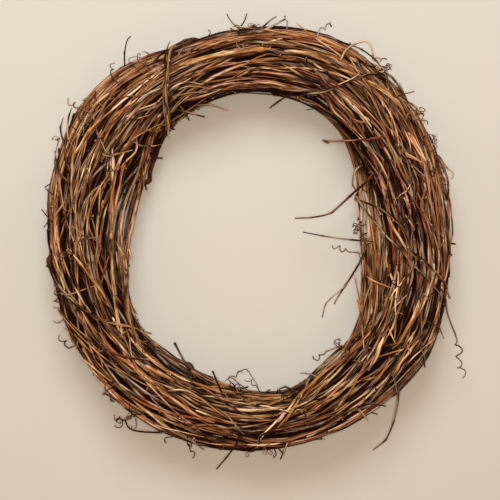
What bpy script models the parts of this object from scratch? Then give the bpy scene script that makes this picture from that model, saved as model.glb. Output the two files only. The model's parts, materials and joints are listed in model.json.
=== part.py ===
"""Grapevine wreath: long canes of dried vine wound in a ring and bound round with two more canes.

The wreath lies on its back. +Z points up out of its front, and +Y to its top as it would hang.
Lengths are in millimetres until a mesh is made, and then in metres.
"""

import math

import bpy
import numpy as np

MM = 0.001
TURN = 2 * math.pi

# The side shoots' routes are in pixels of the photo: millimetres to a pixel, and the origin's pixel
PIXEL = 1.15
PIXEL_ORIGIN = np.array([254.2, 242.0])
RING_CENTRE = (np.array([247.0, 240.0]) - PIXEL_ORIGIN) * PIXEL * (1, -1)

# The ring's outline from the front: radii every 22.5 degrees, starting at +X and turning towards +Y
OUTER_RADIUS = (235, 242, 250, 254, 244, 239, 251, 241, 230, 230, 236, 243, 243, 242, 247, 245)
INNER_RADIUS = (128, 139, 161, 172, 170, 163, 141, 133, 133, 146, 160, 161, 174, 177, 156, 138)

# The bundle is deeper where it is narrower, and its section is a rounded rectangle's
NARROW_BAND = 68.0
DEPTH_AT_NARROW = 62.0
DEPTH_POWER = 0.7
SQUARENESS = 2.4

# Loose stretches: middle angle, half length, how far the canes stand off (inwards below 0), how many
LOOSE = (
    (math.radians(176), math.radians(44), -24.0, 5),
    (math.radians(-6), math.radians(50), -30.0, 6),
    (math.radians(-38), math.radians(24), -10.0, 2),
    (math.radians(12), math.radians(26), 5.0, 1),
    (math.radians(188), math.radians(24), 3.0, 1),
)

# The main canes: how many turns of the ring each is wound, and half its thickness at base and tip
SEED = 1807
STATIONS = 32
CANE_COUNT = 22
CANE_TURNS = (1.5, 2.6)
CANE_BASE = (2.3, 3.6)
CANE_TIP = (1.3, 1.9)
THICK_CANE = 3.25
# Each kind's turns about the bundle in one turn of the ring, its place from middle to surface, its wander
KINDS = {
    "wrapping": ((0.55, 1.25), 0.99, 0.03),
    "lying": ((0.08, 0.40), 0.85, 0.08),
    "core": ((0.10, 0.50), 0.45, 0.22),
}
KIND_ORDER = ("wrapping", "lying", "core", "wrapping", "lying")
SPREAD_ROUND_RING = 0.618
SPREAD_ROUND_BUNDLE = 0.382
SAME_WAY = 0.65

# How canes make room for each other
GAP = 0.45
PULL = 0.03
LOOSE_PULL = 0.4
STIFFNESS = 0.30
BEND_WAVE = 0.30
LEVELLING = 0.35
SHARE_OF_PUSH = 0.6
CALM_STEPS = 700
MOST_STEPS = 1600
NEARBY = 6.0
# How a cane that is wound over others, or grows over them, is moved off them
CLEARING_STEP = 0.25
CLEARING_TRIES = 60
DIRECTIONS = 72
ROUTE_POINTS = 600

# The binding canes, in degrees: angle round the ring, and round the bundle, where 0 is its outer edge,
# 90 its front, 180 its inner edge and 270 its underside
THICK_BINDER = (
    (103, -28), (107, 0), (116, 82), (122, 118), (127, 159), (133, 178), (147, 190), (158, 240),
    (171, 300), (182, 328),
)
THIN_BINDER = (
    (182, -32), (187.7, 15), (200.7, 64), (210.6, 106), (219.3, 142), (231.4, 175), (243, 183),
    (251, 235), (260, 290), (268, 345), (272.5, 397), (274.2, 428), (280.6, 450), (287.3, 486),
    (296, 528), (309.6, 545), (318, 590), (330, 650), (340, 695), (343.9, 742), (356.1, 824),
    (364.1, 833), (371.9, 859.5), (379.9, 900), (386, 935), (395, 1000), (402, 1050), (406.3, 1090),
    (411.7, 1124), (415.5, 1153), (420.7, 1190), (429.7, 1235), (436, 1258), (443, 1300), (450, 1350),
)
# Name, route, half thickness at both ends, and bark
BINDERS = (
    ("thick_binding_cane", THICK_BINDER, (2.9, 2.4), "umber_vine"),
    ("thin_binding_cane", THIN_BINDER, (2.1, 1.4), "golden_vine"),
)
BINDER_STEP = 11.0
BINDER_GAP = 0.6
BINDER_SIDES = 5
RESTING = (248, 292)

# The bark's colours, as sRGB, and the order in which the canes take them
BARK = {
    "cinnamon_vine": "8A5A30",
    "golden_vine": "A8763F",
    "umber_vine": "4C3322",
    "grey_vine": "766250",
    "russet_vine": "7A4526",
}
CANE_BARK = ("cinnamon_vine", "golden_vine", "umber_vine", "cinnamon_vine", "russet_vine", "grey_vine")
BARK_ROUGHNESS = 0.78

# The side shoots: half thickness at root and tip, how far the tip stands up, and the route in pixels from
# root to tip. A curl follows the last point: its far end, half its width in pixels, and its turns.
TOP_SHOOTS = (
    (1.1, 0.6, 4, ((127, 79), (125, 62), (126, 40), (132, 38)), None),
    (0.8, 0.5, 3, ((121, 87), (112, 76)), ((114, 67), 2.6, 1.5)),
    (1.4, 0.9, 3, ((176, 62), (182, 52), (190, 45)), None),
    (1.3, 0.8, 2, ((152, 66), (160, 60), (168, 53)), None),
    (1.2, 0.6, 4, ((240, 42), (238, 33), (245, 26), (247, 17)), None),
    (0.75, 0.5, 4, ((239, 33), (232, 28), (228, 22), (227, 17)), None),
    (1.4, 0.8, 5, ((247, 38), (262, 31), (270, 22), (276, 19)), None),
    (1.5, 1.0, 5, ((258, 40), (268, 32), (284, 22)), None),
    (0.8, 0.5, 3, ((286, 36), (287, 24)), ((284, 19), 2.0, 1.0)),
    (0.9, 0.5, 4, ((316, 42), (318, 33)), ((330, 27), 3.0, 2.0)),
    (1.3, 0.6, 6, ((340, 62), (345, 52), (356, 45), (367, 43), (371, 52), (373, 60)),
     ((385, 62), 2.4, 1.5)),
    (0.7, 0.5, 6, ((373, 60), (379, 68), (385, 76)), ((388, 70), 2.0, 1.0)),
    (1.0, 0.6, 3, ((392, 99), (402, 95), (413, 93)), None),
    (0.9, 0.5, 4, ((404, 118), (411, 110)), ((424, 124), 3.2, 2.5)),
    (1.1, 0.6, 5, ((432, 162), (437, 153), (447, 169), (458, 173), (450, 179)), None),
    (0.8, 0.5, 4, ((436, 172), (442, 178)), ((444, 188), 3.0, 1.5)),
)
BOTTOM_SHOOTS = (
    (1.1, 0.5, 6, ((436, 284), (443, 296), (446, 312), (451, 325), (455, 334)), ((461, 375), 4.0, 3.5)),
    (1.5, 1.0, 4, ((418, 340), (422, 350), (423, 366)), None),
    (1.7, 0.7, 6, ((391, 366), (394, 382), (397, 398), (395, 412), (387, 434), (372, 448)), None),
    (1.2, 0.7, 3, ((356, 404), (368, 402), (384, 404)), None),
    (1.0, 0.6, 3, ((350, 404), (360, 408), (366, 418)), None),
    (1.2, 0.8, 2, ((288, 434), (284, 446), (280, 457)), None),
    (1.8, 0.7, 5, ((150, 386), (168, 391), (187, 391), (212, 402), (228, 414), (240, 427), (239, 441),
                   (226, 455), (217, 467)), None),
    (0.9, 0.5, 3, ((188, 432), (188, 442)), ((194, 453), 2.4, 1.5)),
    (1.3, 0.6, 3, ((170, 430), (156, 431), (140, 430), (130, 427), (126, 418)), ((118, 416), 3.2, 1.5)),
    (0.9, 0.5, 4, ((146, 412), (133, 413)), ((120, 424), 3.0, 1.5)),
    (1.3, 0.8, 2, ((120, 380), (111, 387), (104, 393)), None),
    (0.9, 0.5, 3, ((78, 344), (69, 348)), ((62, 336), 3.0, 1.5)),
)
LEFT_SHOOTS = (
    (1.0, 0.6, 3, ((70, 296), (57, 285)), ((60, 302), 2.6, 2.0)),
    (1.0, 0.6, 4, ((60, 226), (52, 219), (44, 210)), None),
    (1.0, 0.7, 3, ((62, 200), (54, 194), (48, 190)), None),
    (1.5, 1.0, 3, ((66, 214), (62, 190), (61, 168), (60, 149)), None),
    (1.6, 1.1, 3, ((72, 176), (66, 160), (66, 146), (70, 130), (74, 114)), None),
    (1.0, 0.6, 4, ((93, 114), (78, 109)), ((68, 100), 3.0, 2.0)),
)
INSIDE_SHOOTS = (
    (1.2, 0.8, 3, ((186, 110), (200, 106), (213, 106), (228, 110)), None),
    (1.1, 0.8, 2, ((176, 110), (190, 113), (205, 118)), None),
    (1.0, 0.7, 1, ((180, 106), (186, 114), (190, 122)), None),
    (1.1, 0.7, 3, ((296, 92), (284, 99), (270, 109)), None),
    (1.4, 1.1, 5, ((384, 138), (372, 140), (350, 142), (325, 143)), None),
    (1.3, 0.8, 3, ((362, 164), (353, 166), (350, 175), (352, 184), (358, 192)), None),
    (1.6, 0.8, 7, ((374, 172), (366, 182), (354, 193), (342, 204), (327, 215), (312, 218), (295, 218)),
     None),
    (1.2, 0.6, 6, ((372, 243), (357, 240), (340, 239), (322, 236), (303, 232)), None),
    (0.9, 0.5, 6, ((366, 254), (352, 252)), ((334, 247), 3.0, 2.5)),
    (1.5, 0.8, 6, ((366, 252), (359, 264), (352, 276), (345, 286), (338, 296), (334, 304)), None),
    (0.85, 0.5, 6, ((345, 286), (335, 294), (326, 302), (322, 317)), None),
    (0.9, 0.5, 5, ((342, 346), (326, 352)), ((314, 360), 3.4, 2.0)),
    (1.2, 0.8, 3, ((272, 386), (286, 384), (298, 392)), None),
    (1.0, 0.6, 3, ((320, 378), (312, 373), (300, 372)), None),
    (1.5, 1.2, 4, ((196, 378), (188, 368), (181, 356), (175, 343)), None),
    (1.3, 1.0, 3, ((226, 398), (219, 384), (213, 370)), None),
    (0.7, 0.4, 4, ((240, 396), (236, 386), (228, 378)), ((240, 372), 4.0, 1.5)),
    (0.7, 0.4, 4, ((262, 394), (256, 384)), ((246, 378), 3.4, 1.5)),
)
FRONT_SHOOTS = (
    (1.2, 0.7, 3, ((72, 244), (84, 240), (98, 238)), None),
    (1.0, 0.6, 4, ((96, 150), (106, 158), (124, 152)), None),
    (1.0, 0.6, 4, ((414, 196), (402, 206), (396, 200)), None),
    (1.1, 0.7, 4, ((404, 340), (386, 344), (366, 350)), None),
    (1.0, 0.5, 5, ((300, 62), (312, 70)), ((330, 78), 3.0, 2.0)),
    (0.9, 0.5, 5, ((84, 262), (88, 272)), ((98, 262), 4.0, 2.0)),
)
SHOOTS = TOP_SHOOTS + BOTTOM_SHOOTS + LEFT_SHOOTS + INSIDE_SHOOTS + FRONT_SHOOTS
SHOOT_GAP = 0.6
SHOOT_STEP = 11.0
FINE_STEP = 2.2
CURL_POINTS = 5
THICK_SHOOT = 1.25
# A shoot's root lies well inside a thicker cane, at one of these shares of the way between two stations
ROOT_SHARES = (0.26, 0.38, 0.5, 0.62, 0.74)
ROOT_MARGIN = 1.15


def unit(vectors):
    return vectors / np.maximum(np.linalg.norm(vectors, axis=-1, keepdims=True), 1e-9)


def ring_curve(samples):
    """A smooth closed curve through evenly spaced radii, as the sum of their sines and cosines."""
    waves = np.fft.rfft(samples) / len(samples)
    order = np.arange(len(waves))
    weight = np.where((order == 0) | (order == len(samples) // 2), 1.0, 2.0)

    def radius(theta):
        phase = np.exp(1j * np.multiply.outer(np.asarray(theta, float), order))
        return (weight * waves * phase).real.sum(axis=-1)

    return radius


outer_radius = ring_curve(OUTER_RADIUS)
inner_radius = ring_curve(INNER_RADIUS)


def nearness(theta, middle, half):
    """1 at the middle of a stretch of the ring, falling smoothly to 0 at its ends."""
    away = (theta - middle + math.pi) % TURN - math.pi
    return np.where(np.abs(away) < half, np.cos(away / half * math.pi / 2) ** 2, 0.0)


def band(theta):
    """The bundle's section at an angle round the ring: middle radius, half width and half depth."""
    outer, inner = outer_radius(theta), inner_radius(theta)
    for middle, half, spread, _ in LOOSE:
        outer = outer - max(spread, 0.0) * nearness(theta, middle, half)
        inner = inner - min(spread, 0.0) * nearness(theta, middle, half)
    width = outer - inner
    depth = DEPTH_AT_NARROW * (NARROW_BAND / width) ** DEPTH_POWER
    return (outer + inner) / 2, width / 2, depth / 2


def fullness(across, up):
    """How far out a point of the section lies: 0 in the middle and 1 on its rounded outline."""
    return (np.abs(across) ** SQUARENESS + np.abs(up) ** SQUARENESS) ** (1 / SQUARENESS)


def plan_canes(rng):
    """Where each cane starts, how long and thick it is, and where in the section it means to run."""
    canes = []
    for number in range(CANE_COUNT):
        (slow, fast), level, wander = KINDS[KIND_ORDER[number % len(KIND_ORDER)]]
        steps = int(round(rng.uniform(*CANE_TURNS) * STATIONS))
        start = int(round(number * SPREAD_ROUND_RING * STATIONS)) % STATIONS
        along = np.arange(steps + 1) / STATIONS
        twist = rng.uniform(slow, fast) * (1 if rng.uniform() < SAME_WAY else -1)
        angle = TURN * (number * SPREAD_ROUND_BUNDLE + twist * along)
        level = np.full_like(along, level)
        for wave in (0.7, 1.6, 2.7):
            angle += BEND_WAVE / wave * np.sin(TURN * (wave * along + rng.uniform()))
            level += wander * np.sin(TURN * (wave * along + rng.uniform()))
        thick, thin = rng.uniform(*CANE_BASE), rng.uniform(*CANE_TIP)
        share = along / along[-1]
        if rng.uniform() < 0.5:
            share = 1 - share
        canes.append({
            "station": start + np.arange(steps + 1),
            "angle": angle,
            "level": np.clip(level, 0.0, 1.0),
            "radius": thick + (thin - thick) * share ** 1.3,
        })
    return canes


def loosen(places, limits, theta, cane, middle, half, spread, count):
    """Lets the canes nearest one edge stand off from the rest over a stretch, each by its own share."""
    side = math.copysign(1.0, spread)
    lap = np.floor((theta - middle + math.pi) / TURN)
    near = nearness(theta, middle, half)
    passes = []
    for number in np.unique(cane):
        for turn in np.unique(lap[cane == number]):
            here = np.flatnonzero((cane == number) & (lap == turn) & (near > 0))
            if len(here) and near[here].max() > 0.95:
                mid = here[np.argmax(near[here])]
                passes.append((side * places[mid, 0] / limits[mid, 0], here))
    passes.sort(key=lambda found: -found[0])
    for rank, (_, here) in enumerate(passes[:count]):
        edge = side * limits[here, 0] + spread * (1 - rank / count)
        places[here, 0] += near[here] * (edge - places[here, 0])
        places[here, 1] *= 1 - LEVELLING * near[here]


def wanted_places(canes):
    """Every cane's points as (across, up) in the section, before they have made room for each other."""
    station, angle, level, radius = (
        np.concatenate([cane[key] for cane in canes]) for key in ("station", "angle", "level", "radius")
    )
    cane = np.concatenate([np.full(len(c["station"]), number) for number, c in enumerate(canes)])
    theta = TURN * station / STATIONS
    _, half_width, half_depth = band(theta)
    limits = np.stack([half_width - radius, half_depth - radius], axis=1)
    ray = np.stack([np.cos(angle), np.sin(angle)], axis=1)
    places = limits * ray * (level / fullness(ray[:, 0], ray[:, 1]))[:, None]
    for middle, half, spread, count in LOOSE:
        loosen(places, limits, theta, cane, middle, half, spread, count)
    return places, limits, radius, station, cane


def neighbours(station, cane):
    """Every two cane stretches that lie between the same two stations, by their first points."""
    first = np.flatnonzero(cane[1:] == cane[:-1])
    interval = station[first] % STATIONS
    one, other = [], []
    for k in range(STATIONS):
        here = first[interval == k]
        a, b = np.triu_indices(len(here), 1)
        one.append(here[a])
        other.append(here[b])
    return np.concatenate(one), np.concatenate(other)


def crowding(places, radius, one, other):
    """Each pair's overlap at its closest, the direction it has to part in and how far along that is."""
    start = places[one] - places[other]
    change = places[one + 1] - places[other + 1] - start
    share = np.clip(-(start * change).sum(1) / np.maximum((change ** 2).sum(1), 1e-9), 0, 1)
    apart = start + share[:, None] * change
    distance = np.linalg.norm(apart, axis=1)
    touch = radius[one] + radius[other]
    touch = touch + share * (radius[one + 1] + radius[other + 1] - touch)
    return touch + GAP - distance, apart / np.maximum(distance, 1e-6)[:, None], share


def pushed_apart(places, overlap, direction, share, one, other):
    """Places after each overlapping pair has parted, mostly at the end that is nearer the overlap."""
    hit = np.flatnonzero(overlap > 0)
    weight = np.stack([1 - share[hit], share[hit]], axis=1)
    weight /= (weight ** 2).sum(1, keepdims=True)
    push = 0.5 * overlap[hit, None] * direction[hit]
    move = np.zeros_like(places)
    for end in (0, 1):
        for sign, who in ((1, one), (-1, other)):
            for axis in (0, 1):
                amount = sign * push[:, axis] * weight[:, end]
                move[:, axis] += np.bincount(who[hit] + end, amount, len(places))
    return places + SHARE_OF_PUSH * move, len(hit)


def settle(places, limits, radius, station, cane):
    """Lets the canes make room for each other, each staying as smooth as it can, until none overlap."""
    wanted = places.copy()
    roomy = np.maximum(1.0, fullness(*(places / limits).T))
    pull = np.where(roomy > 1.01, LOOSE_PULL, PULL)[:, None]
    every_one, every_other = neighbours(station, cane)
    inner = np.flatnonzero((cane[1:-1] == cane[:-2]) & (cane[1:-1] == cane[2:])) + 1
    for step in range(MOST_STEPS):
        if step % 10 == 0:
            places = places.round(6)
            overlap, _, _ = crowding(places, radius, every_one, every_other)
            one, other = every_one[overlap > -NEARBY], every_other[overlap > -NEARBY]
        calm = max(0.0, 1 - step / CALM_STEPS)
        places += pull * calm * (wanted - places)
        bend = places[inner - 1] + places[inner + 1] - 2 * places[inner]
        places[inner] += STIFFNESS * calm * bend
        places, hits = pushed_apart(places, *crowding(places, radius, one, other), one, other)
        if step > CALM_STEPS and step % 10 == 0 and not hits:
            break
        places /= np.maximum(fullness(*(places / limits).T) / roomy, 1.0)[:, None]
    return places


def in_ring(places, station):
    """Section places as points in space."""
    theta = TURN * station / STATIONS
    middle, _, half_depth = band(theta)
    ray = np.stack([np.cos(theta), np.sin(theta)], axis=1)
    flat = RING_CENTRE + (middle + places[:, 0])[:, None] * ray
    return np.column_stack([flat, half_depth + places[:, 1]])


def stretches(centres, radius, owner):
    """Each straight stretch between two neighbouring points of one cane: ends, end radii and owner."""
    first = np.flatnonzero(owner[1:] == owner[:-1])
    return {
        "start": centres[first],
        "end": centres[first + 1],
        "start_radius": radius[first],
        "end_radius": radius[first + 1],
        "owner": owner[first],
    }


def joined(one, other):
    return {key: np.concatenate([one[key], other[key]]) for key in one}


def cut_at(theta, solid):
    """Where a plane through the ring's axis cuts the stretches: (reach, up) and half thickness there."""
    ray = np.array([math.cos(theta), math.sin(theta)])
    start, end = solid["start"], solid["end"]
    before = (start[:, 0] - RING_CENTRE[0]) * ray[1] - (start[:, 1] - RING_CENTRE[1]) * ray[0]
    after = (end[:, 0] - RING_CENTRE[0]) * ray[1] - (end[:, 1] - RING_CENTRE[1]) * ray[0]
    share = before / np.where(before == after, 1.0, before - after)
    point = start + share[:, None] * (end - start)
    reach = (point[:, :2] - RING_CENTRE) @ ray
    hit = (share >= 0) & (share <= 1) & (before != after) & (reach > 0)
    along = unit(end - start)
    straight = np.abs(along[:, 1] * ray[0] - along[:, 0] * ray[1])
    thick = solid["start_radius"] + share * (solid["end_radius"] - solid["start_radius"])
    return np.column_stack([reach, point[:, 2]])[hit], (thick / np.maximum(straight, 0.5))[hit]


def taut_reach(theta, angle, solid, clear):
    """How far from the section's middle a cane drawn tight over the bundle lies, in one direction."""
    facing = np.linspace(0, TURN, DIRECTIONS, endpoint=False)
    normals = np.stack([np.cos(facing), np.sin(facing)], axis=1)
    middle, _, half_depth = band(theta)
    support = np.full(len(facing), -np.inf)
    for nearby in (theta - 0.03, theta, theta + 0.03):
        points, thick = cut_at(nearby, solid)
        reaches = (points - (middle, half_depth)) @ normals.T + thick[:, None]
        support = np.maximum(support, reaches.max(axis=0))
    lean = np.cos(facing - angle)
    return np.min((support[lean > 0.1] + clear) / lean[lean > 0.1])


def closest_gap(start, end, radius, solid):
    """The gap between one straight stretch and each of the others, where they are closest."""
    ahead, other, back = end - start, solid["end"] - solid["start"], start - solid["start"]
    a, e = ahead @ ahead, np.maximum((other * other).sum(1), 1e-9)
    b, c, f = other @ ahead, back @ ahead, (other * back).sum(1)
    share = np.clip((b * f - c * e) / np.maximum(a * e - b * b, 1e-9), 0, 1)
    across = np.clip((b * share + f) / e, 0, 1)
    share = np.clip((b * across - c) / max(a, 1e-9), 0, 1)
    apart = start + share[:, None] * ahead - solid["start"] - across[:, None] * other
    thick = solid["start_radius"] + across * (solid["end_radius"] - solid["start_radius"])
    return np.linalg.norm(apart, axis=1) - thick - radius


def kept_clear(points, radius, away, solid):
    """Points moved away, a little at a time, until the tube through them clears every stretch."""
    points = points.copy()
    for _ in range(CLEARING_TRIES):
        low = [
            n for n in range(len(points) - 1)
            if closest_gap(points[n], points[n + 1], max(radius[n], radius[n + 1]), solid).min() < GAP
        ]
        if not low:
            break
        moved = np.unique(np.concatenate([low, np.array(low) + 1]))
        points[moved] += CLEARING_STEP * away[moved]
    return points


def binder_points(route, radii, solid):
    """A binding cane's line, tight over the bundle: points, half thickness, way out and where it rests."""
    theta, around = np.radians(np.array(route)).T
    fine = np.linspace(theta[0], theta[-1], ROUTE_POINTS)
    turned = np.interp(fine, theta, around)
    thick = np.linspace(*radii, len(fine))
    middle, half_width, half_depth = band(fine)
    towards = np.arctan2(half_depth * np.sin(turned), half_width * np.cos(turned))
    reach = np.array([
        taut_reach(*spot, solid, half + BINDER_GAP) for *spot, half in zip(fine, towards, thick)
    ])
    ray = np.stack([np.cos(fine), np.sin(fine)], axis=1)
    home = np.column_stack([RING_CENTRE + middle[:, None] * ray, half_depth])
    out = np.column_stack([np.cos(towards)[:, None] * ray, np.sin(towards)])
    line = np.column_stack([home + reach[:, None] * out, out, thick, np.degrees(turned) % 360])
    length = np.concatenate([[0], np.cumsum(np.linalg.norm(np.diff(line[:, :3], axis=0), axis=1))])
    spots = np.linspace(0, length[-1], int(round(length[-1] / BINDER_STEP)) + 1)
    picked = line[np.searchsorted(length, spots).clip(0, len(line) - 1)]
    points = kept_clear(picked[:, :3], picked[:, 6], picked[:, 3:6], solid)
    under = (picked[:, 7] > RESTING[0]) & (picked[:, 7] < RESTING[1])
    return points, picked[:, 6], picked[:, 3:6], under


def make_binders(solid):
    """The binding canes' lines. Their lowest stretches all lie at one height, the floor's, for the wreath
    to rest on. The floor is given too."""
    made = []
    for number, (_, route, radii, _) in enumerate(BINDERS):
        points, radius, away, under = binder_points(route, radii, solid)
        solid = joined(solid, stretches(points, radius, np.full(len(points), CANE_COUNT + number)))
        made.append((points, radius, away, under))
    flat = math.cos(math.pi / BINDER_SIDES)
    floor = min((points[under, 2] - flat * radius[under]).min() for points, radius, _, under in made)
    for points, radius, _, under in made:
        points[under, 2] = floor + flat * radius[under]
    return made, floor


def resting_height(spots, radius, solid):
    """The height at which a shoot of this thickness lies on whatever is under each spot, or nan."""
    share = (np.arange(15) + 0.5)[:, None, None] / 15
    cloud = (solid["start"] + share * (solid["end"] - solid["start"])).reshape(-1, 3)
    thick = solid["start_radius"] + share[:, :, 0] * (solid["end_radius"] - solid["start_radius"])
    reach = (thick.reshape(-1) + radius + SHOOT_GAP) ** 2
    heights = np.full(len(spots), np.nan)
    for n, spot in enumerate(spots):
        away = ((cloud[:, :2] - spot) ** 2).sum(1)
        under = away < reach
        if under.any():
            heights[n] = (cloud[under, 2] + np.sqrt(reach[under] - away[under])).max()
    return heights


def to_front(pixels):
    """Pixels of the photo as millimetres across and up the wreath's front."""
    return (np.asarray(pixels, float) - PIXEL_ORIGIN) * PIXEL * (1, -1)


def smooth_route(corners):
    """Evenly spaced points on a smooth curve through the corners."""
    ends = np.vstack([2 * corners[0] - corners[1], corners, 2 * corners[-1] - corners[-2]])
    share = np.linspace(0, 1, 12, endpoint=False)[:, None]
    pieces = [
        0.5 * (
            2 * start + share * (end - before)
            + share ** 2 * (2 * before - 5 * start + 4 * end - after)
            + share ** 3 * (3 * start - before - 3 * end + after)
        )
        for before, start, end, after in zip(ends, ends[1:], ends[2:], ends[3:])
    ]
    line = np.vstack([*pieces, corners[-1:]])
    length = np.concatenate([[0], np.cumsum(np.linalg.norm(np.diff(line, axis=0), axis=1))])
    spots = np.linspace(0, length[-1], max(2, int(round(length[-1] / FINE_STEP)) + 1))
    return np.column_stack([np.interp(spots, length, line[:, axis]) for axis in (0, 1)])


def curl_points(start, curl):
    """A tendril's coil from where the shoot ends to the coil's far end."""
    end, size, turns = curl
    end = np.append(to_front(end), start[2])
    ahead = unit(end - start)
    aside = np.array([-ahead[1], ahead[0], 0.0])
    share = np.linspace(0, 1, int(turns * CURL_POINTS) + 1)[1:, None]
    turned = TURN * turns * share
    grow = size * PIXEL * np.minimum(1, 3 * share)
    lift = np.array([0, 0, 0.8]) * (1 - np.cos(turned))
    return start + share * (end - start) + grow * (aside * np.sin(turned) + lift)


def shoot_path(shoot, solid):
    """A shoot's points: lying on what is under it, and level where nothing is."""
    thick, thin, rise, route, curl = shoot
    spots = smooth_route(to_front(route))
    heights = resting_height(spots, thick, solid)
    known = np.flatnonzero(~np.isnan(heights))
    level = np.interp(np.arange(len(spots)), known, heights[known])
    level += rise * np.linspace(0, 1, len(spots)) ** 2
    each = int(round(SHOOT_STEP / FINE_STEP))
    count = max(2, int(math.ceil((len(spots) - 1) / each)) + 1)
    picked = np.unique(np.linspace(0, len(spots) - 1, count).round().astype(int))
    high = [level[max(0, n - each):n + each + 1].max() for n in picked]
    path = np.column_stack([spots[picked], high])
    if curl:
        path = np.vstack([path, curl_points(path[-1], curl)])
    return path, np.linspace(thick, thin, len(path))


def root_for(path, radius, carriers, solid):
    """A point inside a cane, near the path's start, from which the shoot clears every other cane."""
    share = np.tile(ROOT_SHARES, len(carriers["owner"]))[:, None]
    which = np.repeat(np.arange(len(carriers["owner"])), len(ROOT_SHARES))
    roots = carriers["start"][which] + share * (carriers["end"][which] - carriers["start"][which])
    thick = np.minimum(carriers["start_radius"], carriers["end_radius"])[which]
    owner = carriers["owner"][which]
    for near in np.argsort(np.linalg.norm(roots - path[0], axis=1)):
        if thick[near] < ROOT_MARGIN * radius[0]:
            continue
        others = {key: value[solid["owner"] != owner[near]] for key, value in solid.items()}
        if closest_gap(roots[near], path[0], radius[0], others).min() > GAP:
            return roots[near], owner[near]
    raise ValueError("no cane can carry this shoot")


def make_shoots(carriers, solid):
    """Every side shoot, rooted in a cane and clear of all else: path, half thickness and its cane."""
    made = []
    for shoot in SHOOTS:
        path, radius = shoot_path(shoot, solid)
        path = kept_clear(path, radius, np.tile([0, 0, 1.0], (len(path), 1)), solid)
        root, owner = root_for(path, radius, carriers, solid)
        path = np.vstack([root, path])
        radius = np.concatenate([radius[:1], radius])
        mine = stretches(path, radius, np.full(len(path), owner))
        solid = joined(solid, mine)
        carriers = joined(carriers, {key: value[1:] for key, value in mine.items()})
        made.append((path, radius, owner))
    return made


def tube(name, rings, material):
    """A closed tube through rings of corners, with a flat cut at each end."""
    count, sides, _ = rings.shape
    grid = np.arange(count * sides).reshape(count, sides)
    after = np.roll(grid, -1, axis=1)
    walls = np.stack([grid[:-1], after[:-1], after[1:], grid[1:]], axis=-1).reshape(-1, 4)
    faces = walls.tolist() + [grid[0][::-1].tolist(), grid[-1].tolist()]
    mesh = bpy.data.meshes.new(name)
    mesh.from_pydata((rings.reshape(-1, 3) * MM).tolist(), [], faces)
    mesh.update()
    mesh.materials.append(material)
    made = bpy.data.objects.new(name, mesh)
    bpy.context.scene.collection.objects.link(made)
    return made


def rings_along(ahead, facing, points, radius, sides):
    """Corners of a tube's rings square to its path, with a flat of each ring facing one way."""
    aside = np.cross(ahead, facing)
    turn = math.pi / sides + TURN * np.arange(sides) / sides
    return points[:, None] + radius[:, None, None] * (
        np.cos(turn)[:, None] * facing[:, None] + np.sin(turn)[:, None] * aside[:, None]
    )


def carried_along(ahead):
    """A direction square to the path at each of its points, that turns no more than the path does."""
    facing = np.cross(ahead[0], np.eye(3)[np.argmin(np.abs(ahead[0]))])
    found = []
    for forward in ahead:
        facing = unit(facing - (facing @ forward) * forward)
        found.append(facing)
    return np.array(found)


def bark_material(name):
    """Dry vine bark of one colour: matt, and with no metal in it."""
    made = bpy.data.materials.get(name)
    if made:
        return made
    made = bpy.data.materials.new(name)
    made.use_nodes = True
    surface = made.node_tree.nodes["Principled BSDF"]
    shades = [int(BARK[name][place:place + 2], 16) / 255 for place in (0, 2, 4)]
    linear = [s / 12.92 if s <= 0.04045 else ((s + 0.055) / 1.055) ** 2.4 for s in shades]
    surface.inputs["Base Color"].default_value = (*linear, 1.0)
    surface.inputs["Roughness"].default_value = BARK_ROUGHNESS
    surface.inputs["Metallic"].default_value = 0.0
    return made


def cane_object(number, centres, radius, station):
    """A main cane. Each of its rings stands in an upright plane through the ring's axis."""
    theta = TURN * station / STATIONS
    ahead = np.stack([-np.sin(theta), np.cos(theta), np.zeros(len(theta))], axis=1)
    down = np.tile([0, 0, -1.0], (len(theta), 1))
    sides = 5 if radius.max() > THICK_CANE else 4
    rings = rings_along(ahead, down, centres, radius, sides)
    return tube(f"cane_{number + 1:02d}", rings, bark_material(CANE_BARK[number % len(CANE_BARK)]))


def binder_object(name, bark, points, radius, away, under):
    """A binding cane, with a flat of its section down where the wreath rests on it."""
    ahead = np.gradient(points, axis=0)
    ahead[under, 2] = 0
    ahead = unit(ahead)
    facing = np.where(under[:, None], [0, 0, -1.0], away)
    facing = unit(facing - (facing * ahead).sum(1, keepdims=True) * ahead)
    return tube(name, rings_along(ahead, facing, points, radius, BINDER_SIDES), bark_material(bark))


def shoot_object(number, path, radius, material):
    """A side shoot or a tendril, before it is fused with its cane."""
    ahead = unit(np.gradient(path, axis=0))
    sides = 4 if radius[0] > THICK_SHOOT else 3
    rings = rings_along(ahead, carried_along(ahead), path, radius, sides)
    return tube(f"shoot_{number:02d}", rings, material)


def join_into(carrier, shoots):
    """Fuses a cane's shoots with it, so that what grew as one piece is one solid."""
    group = bpy.data.collections.new(carrier.name + "_shoots")
    bpy.context.scene.collection.children.link(group)
    for shoot in shoots:
        bpy.context.scene.collection.objects.unlink(shoot)
        group.objects.link(shoot)
    join = carrier.modifiers.new("join", "BOOLEAN")
    join.operation = "UNION"
    join.operand_type = "COLLECTION"
    join.collection = group
    join.solver = "MANIFOLD"
    with bpy.context.temp_override(object=carrier, active_object=carrier):
        bpy.ops.object.modifier_apply(modifier=join.name)
    for shoot in shoots:
        bpy.data.objects.remove(shoot)
    bpy.data.collections.remove(group)


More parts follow.
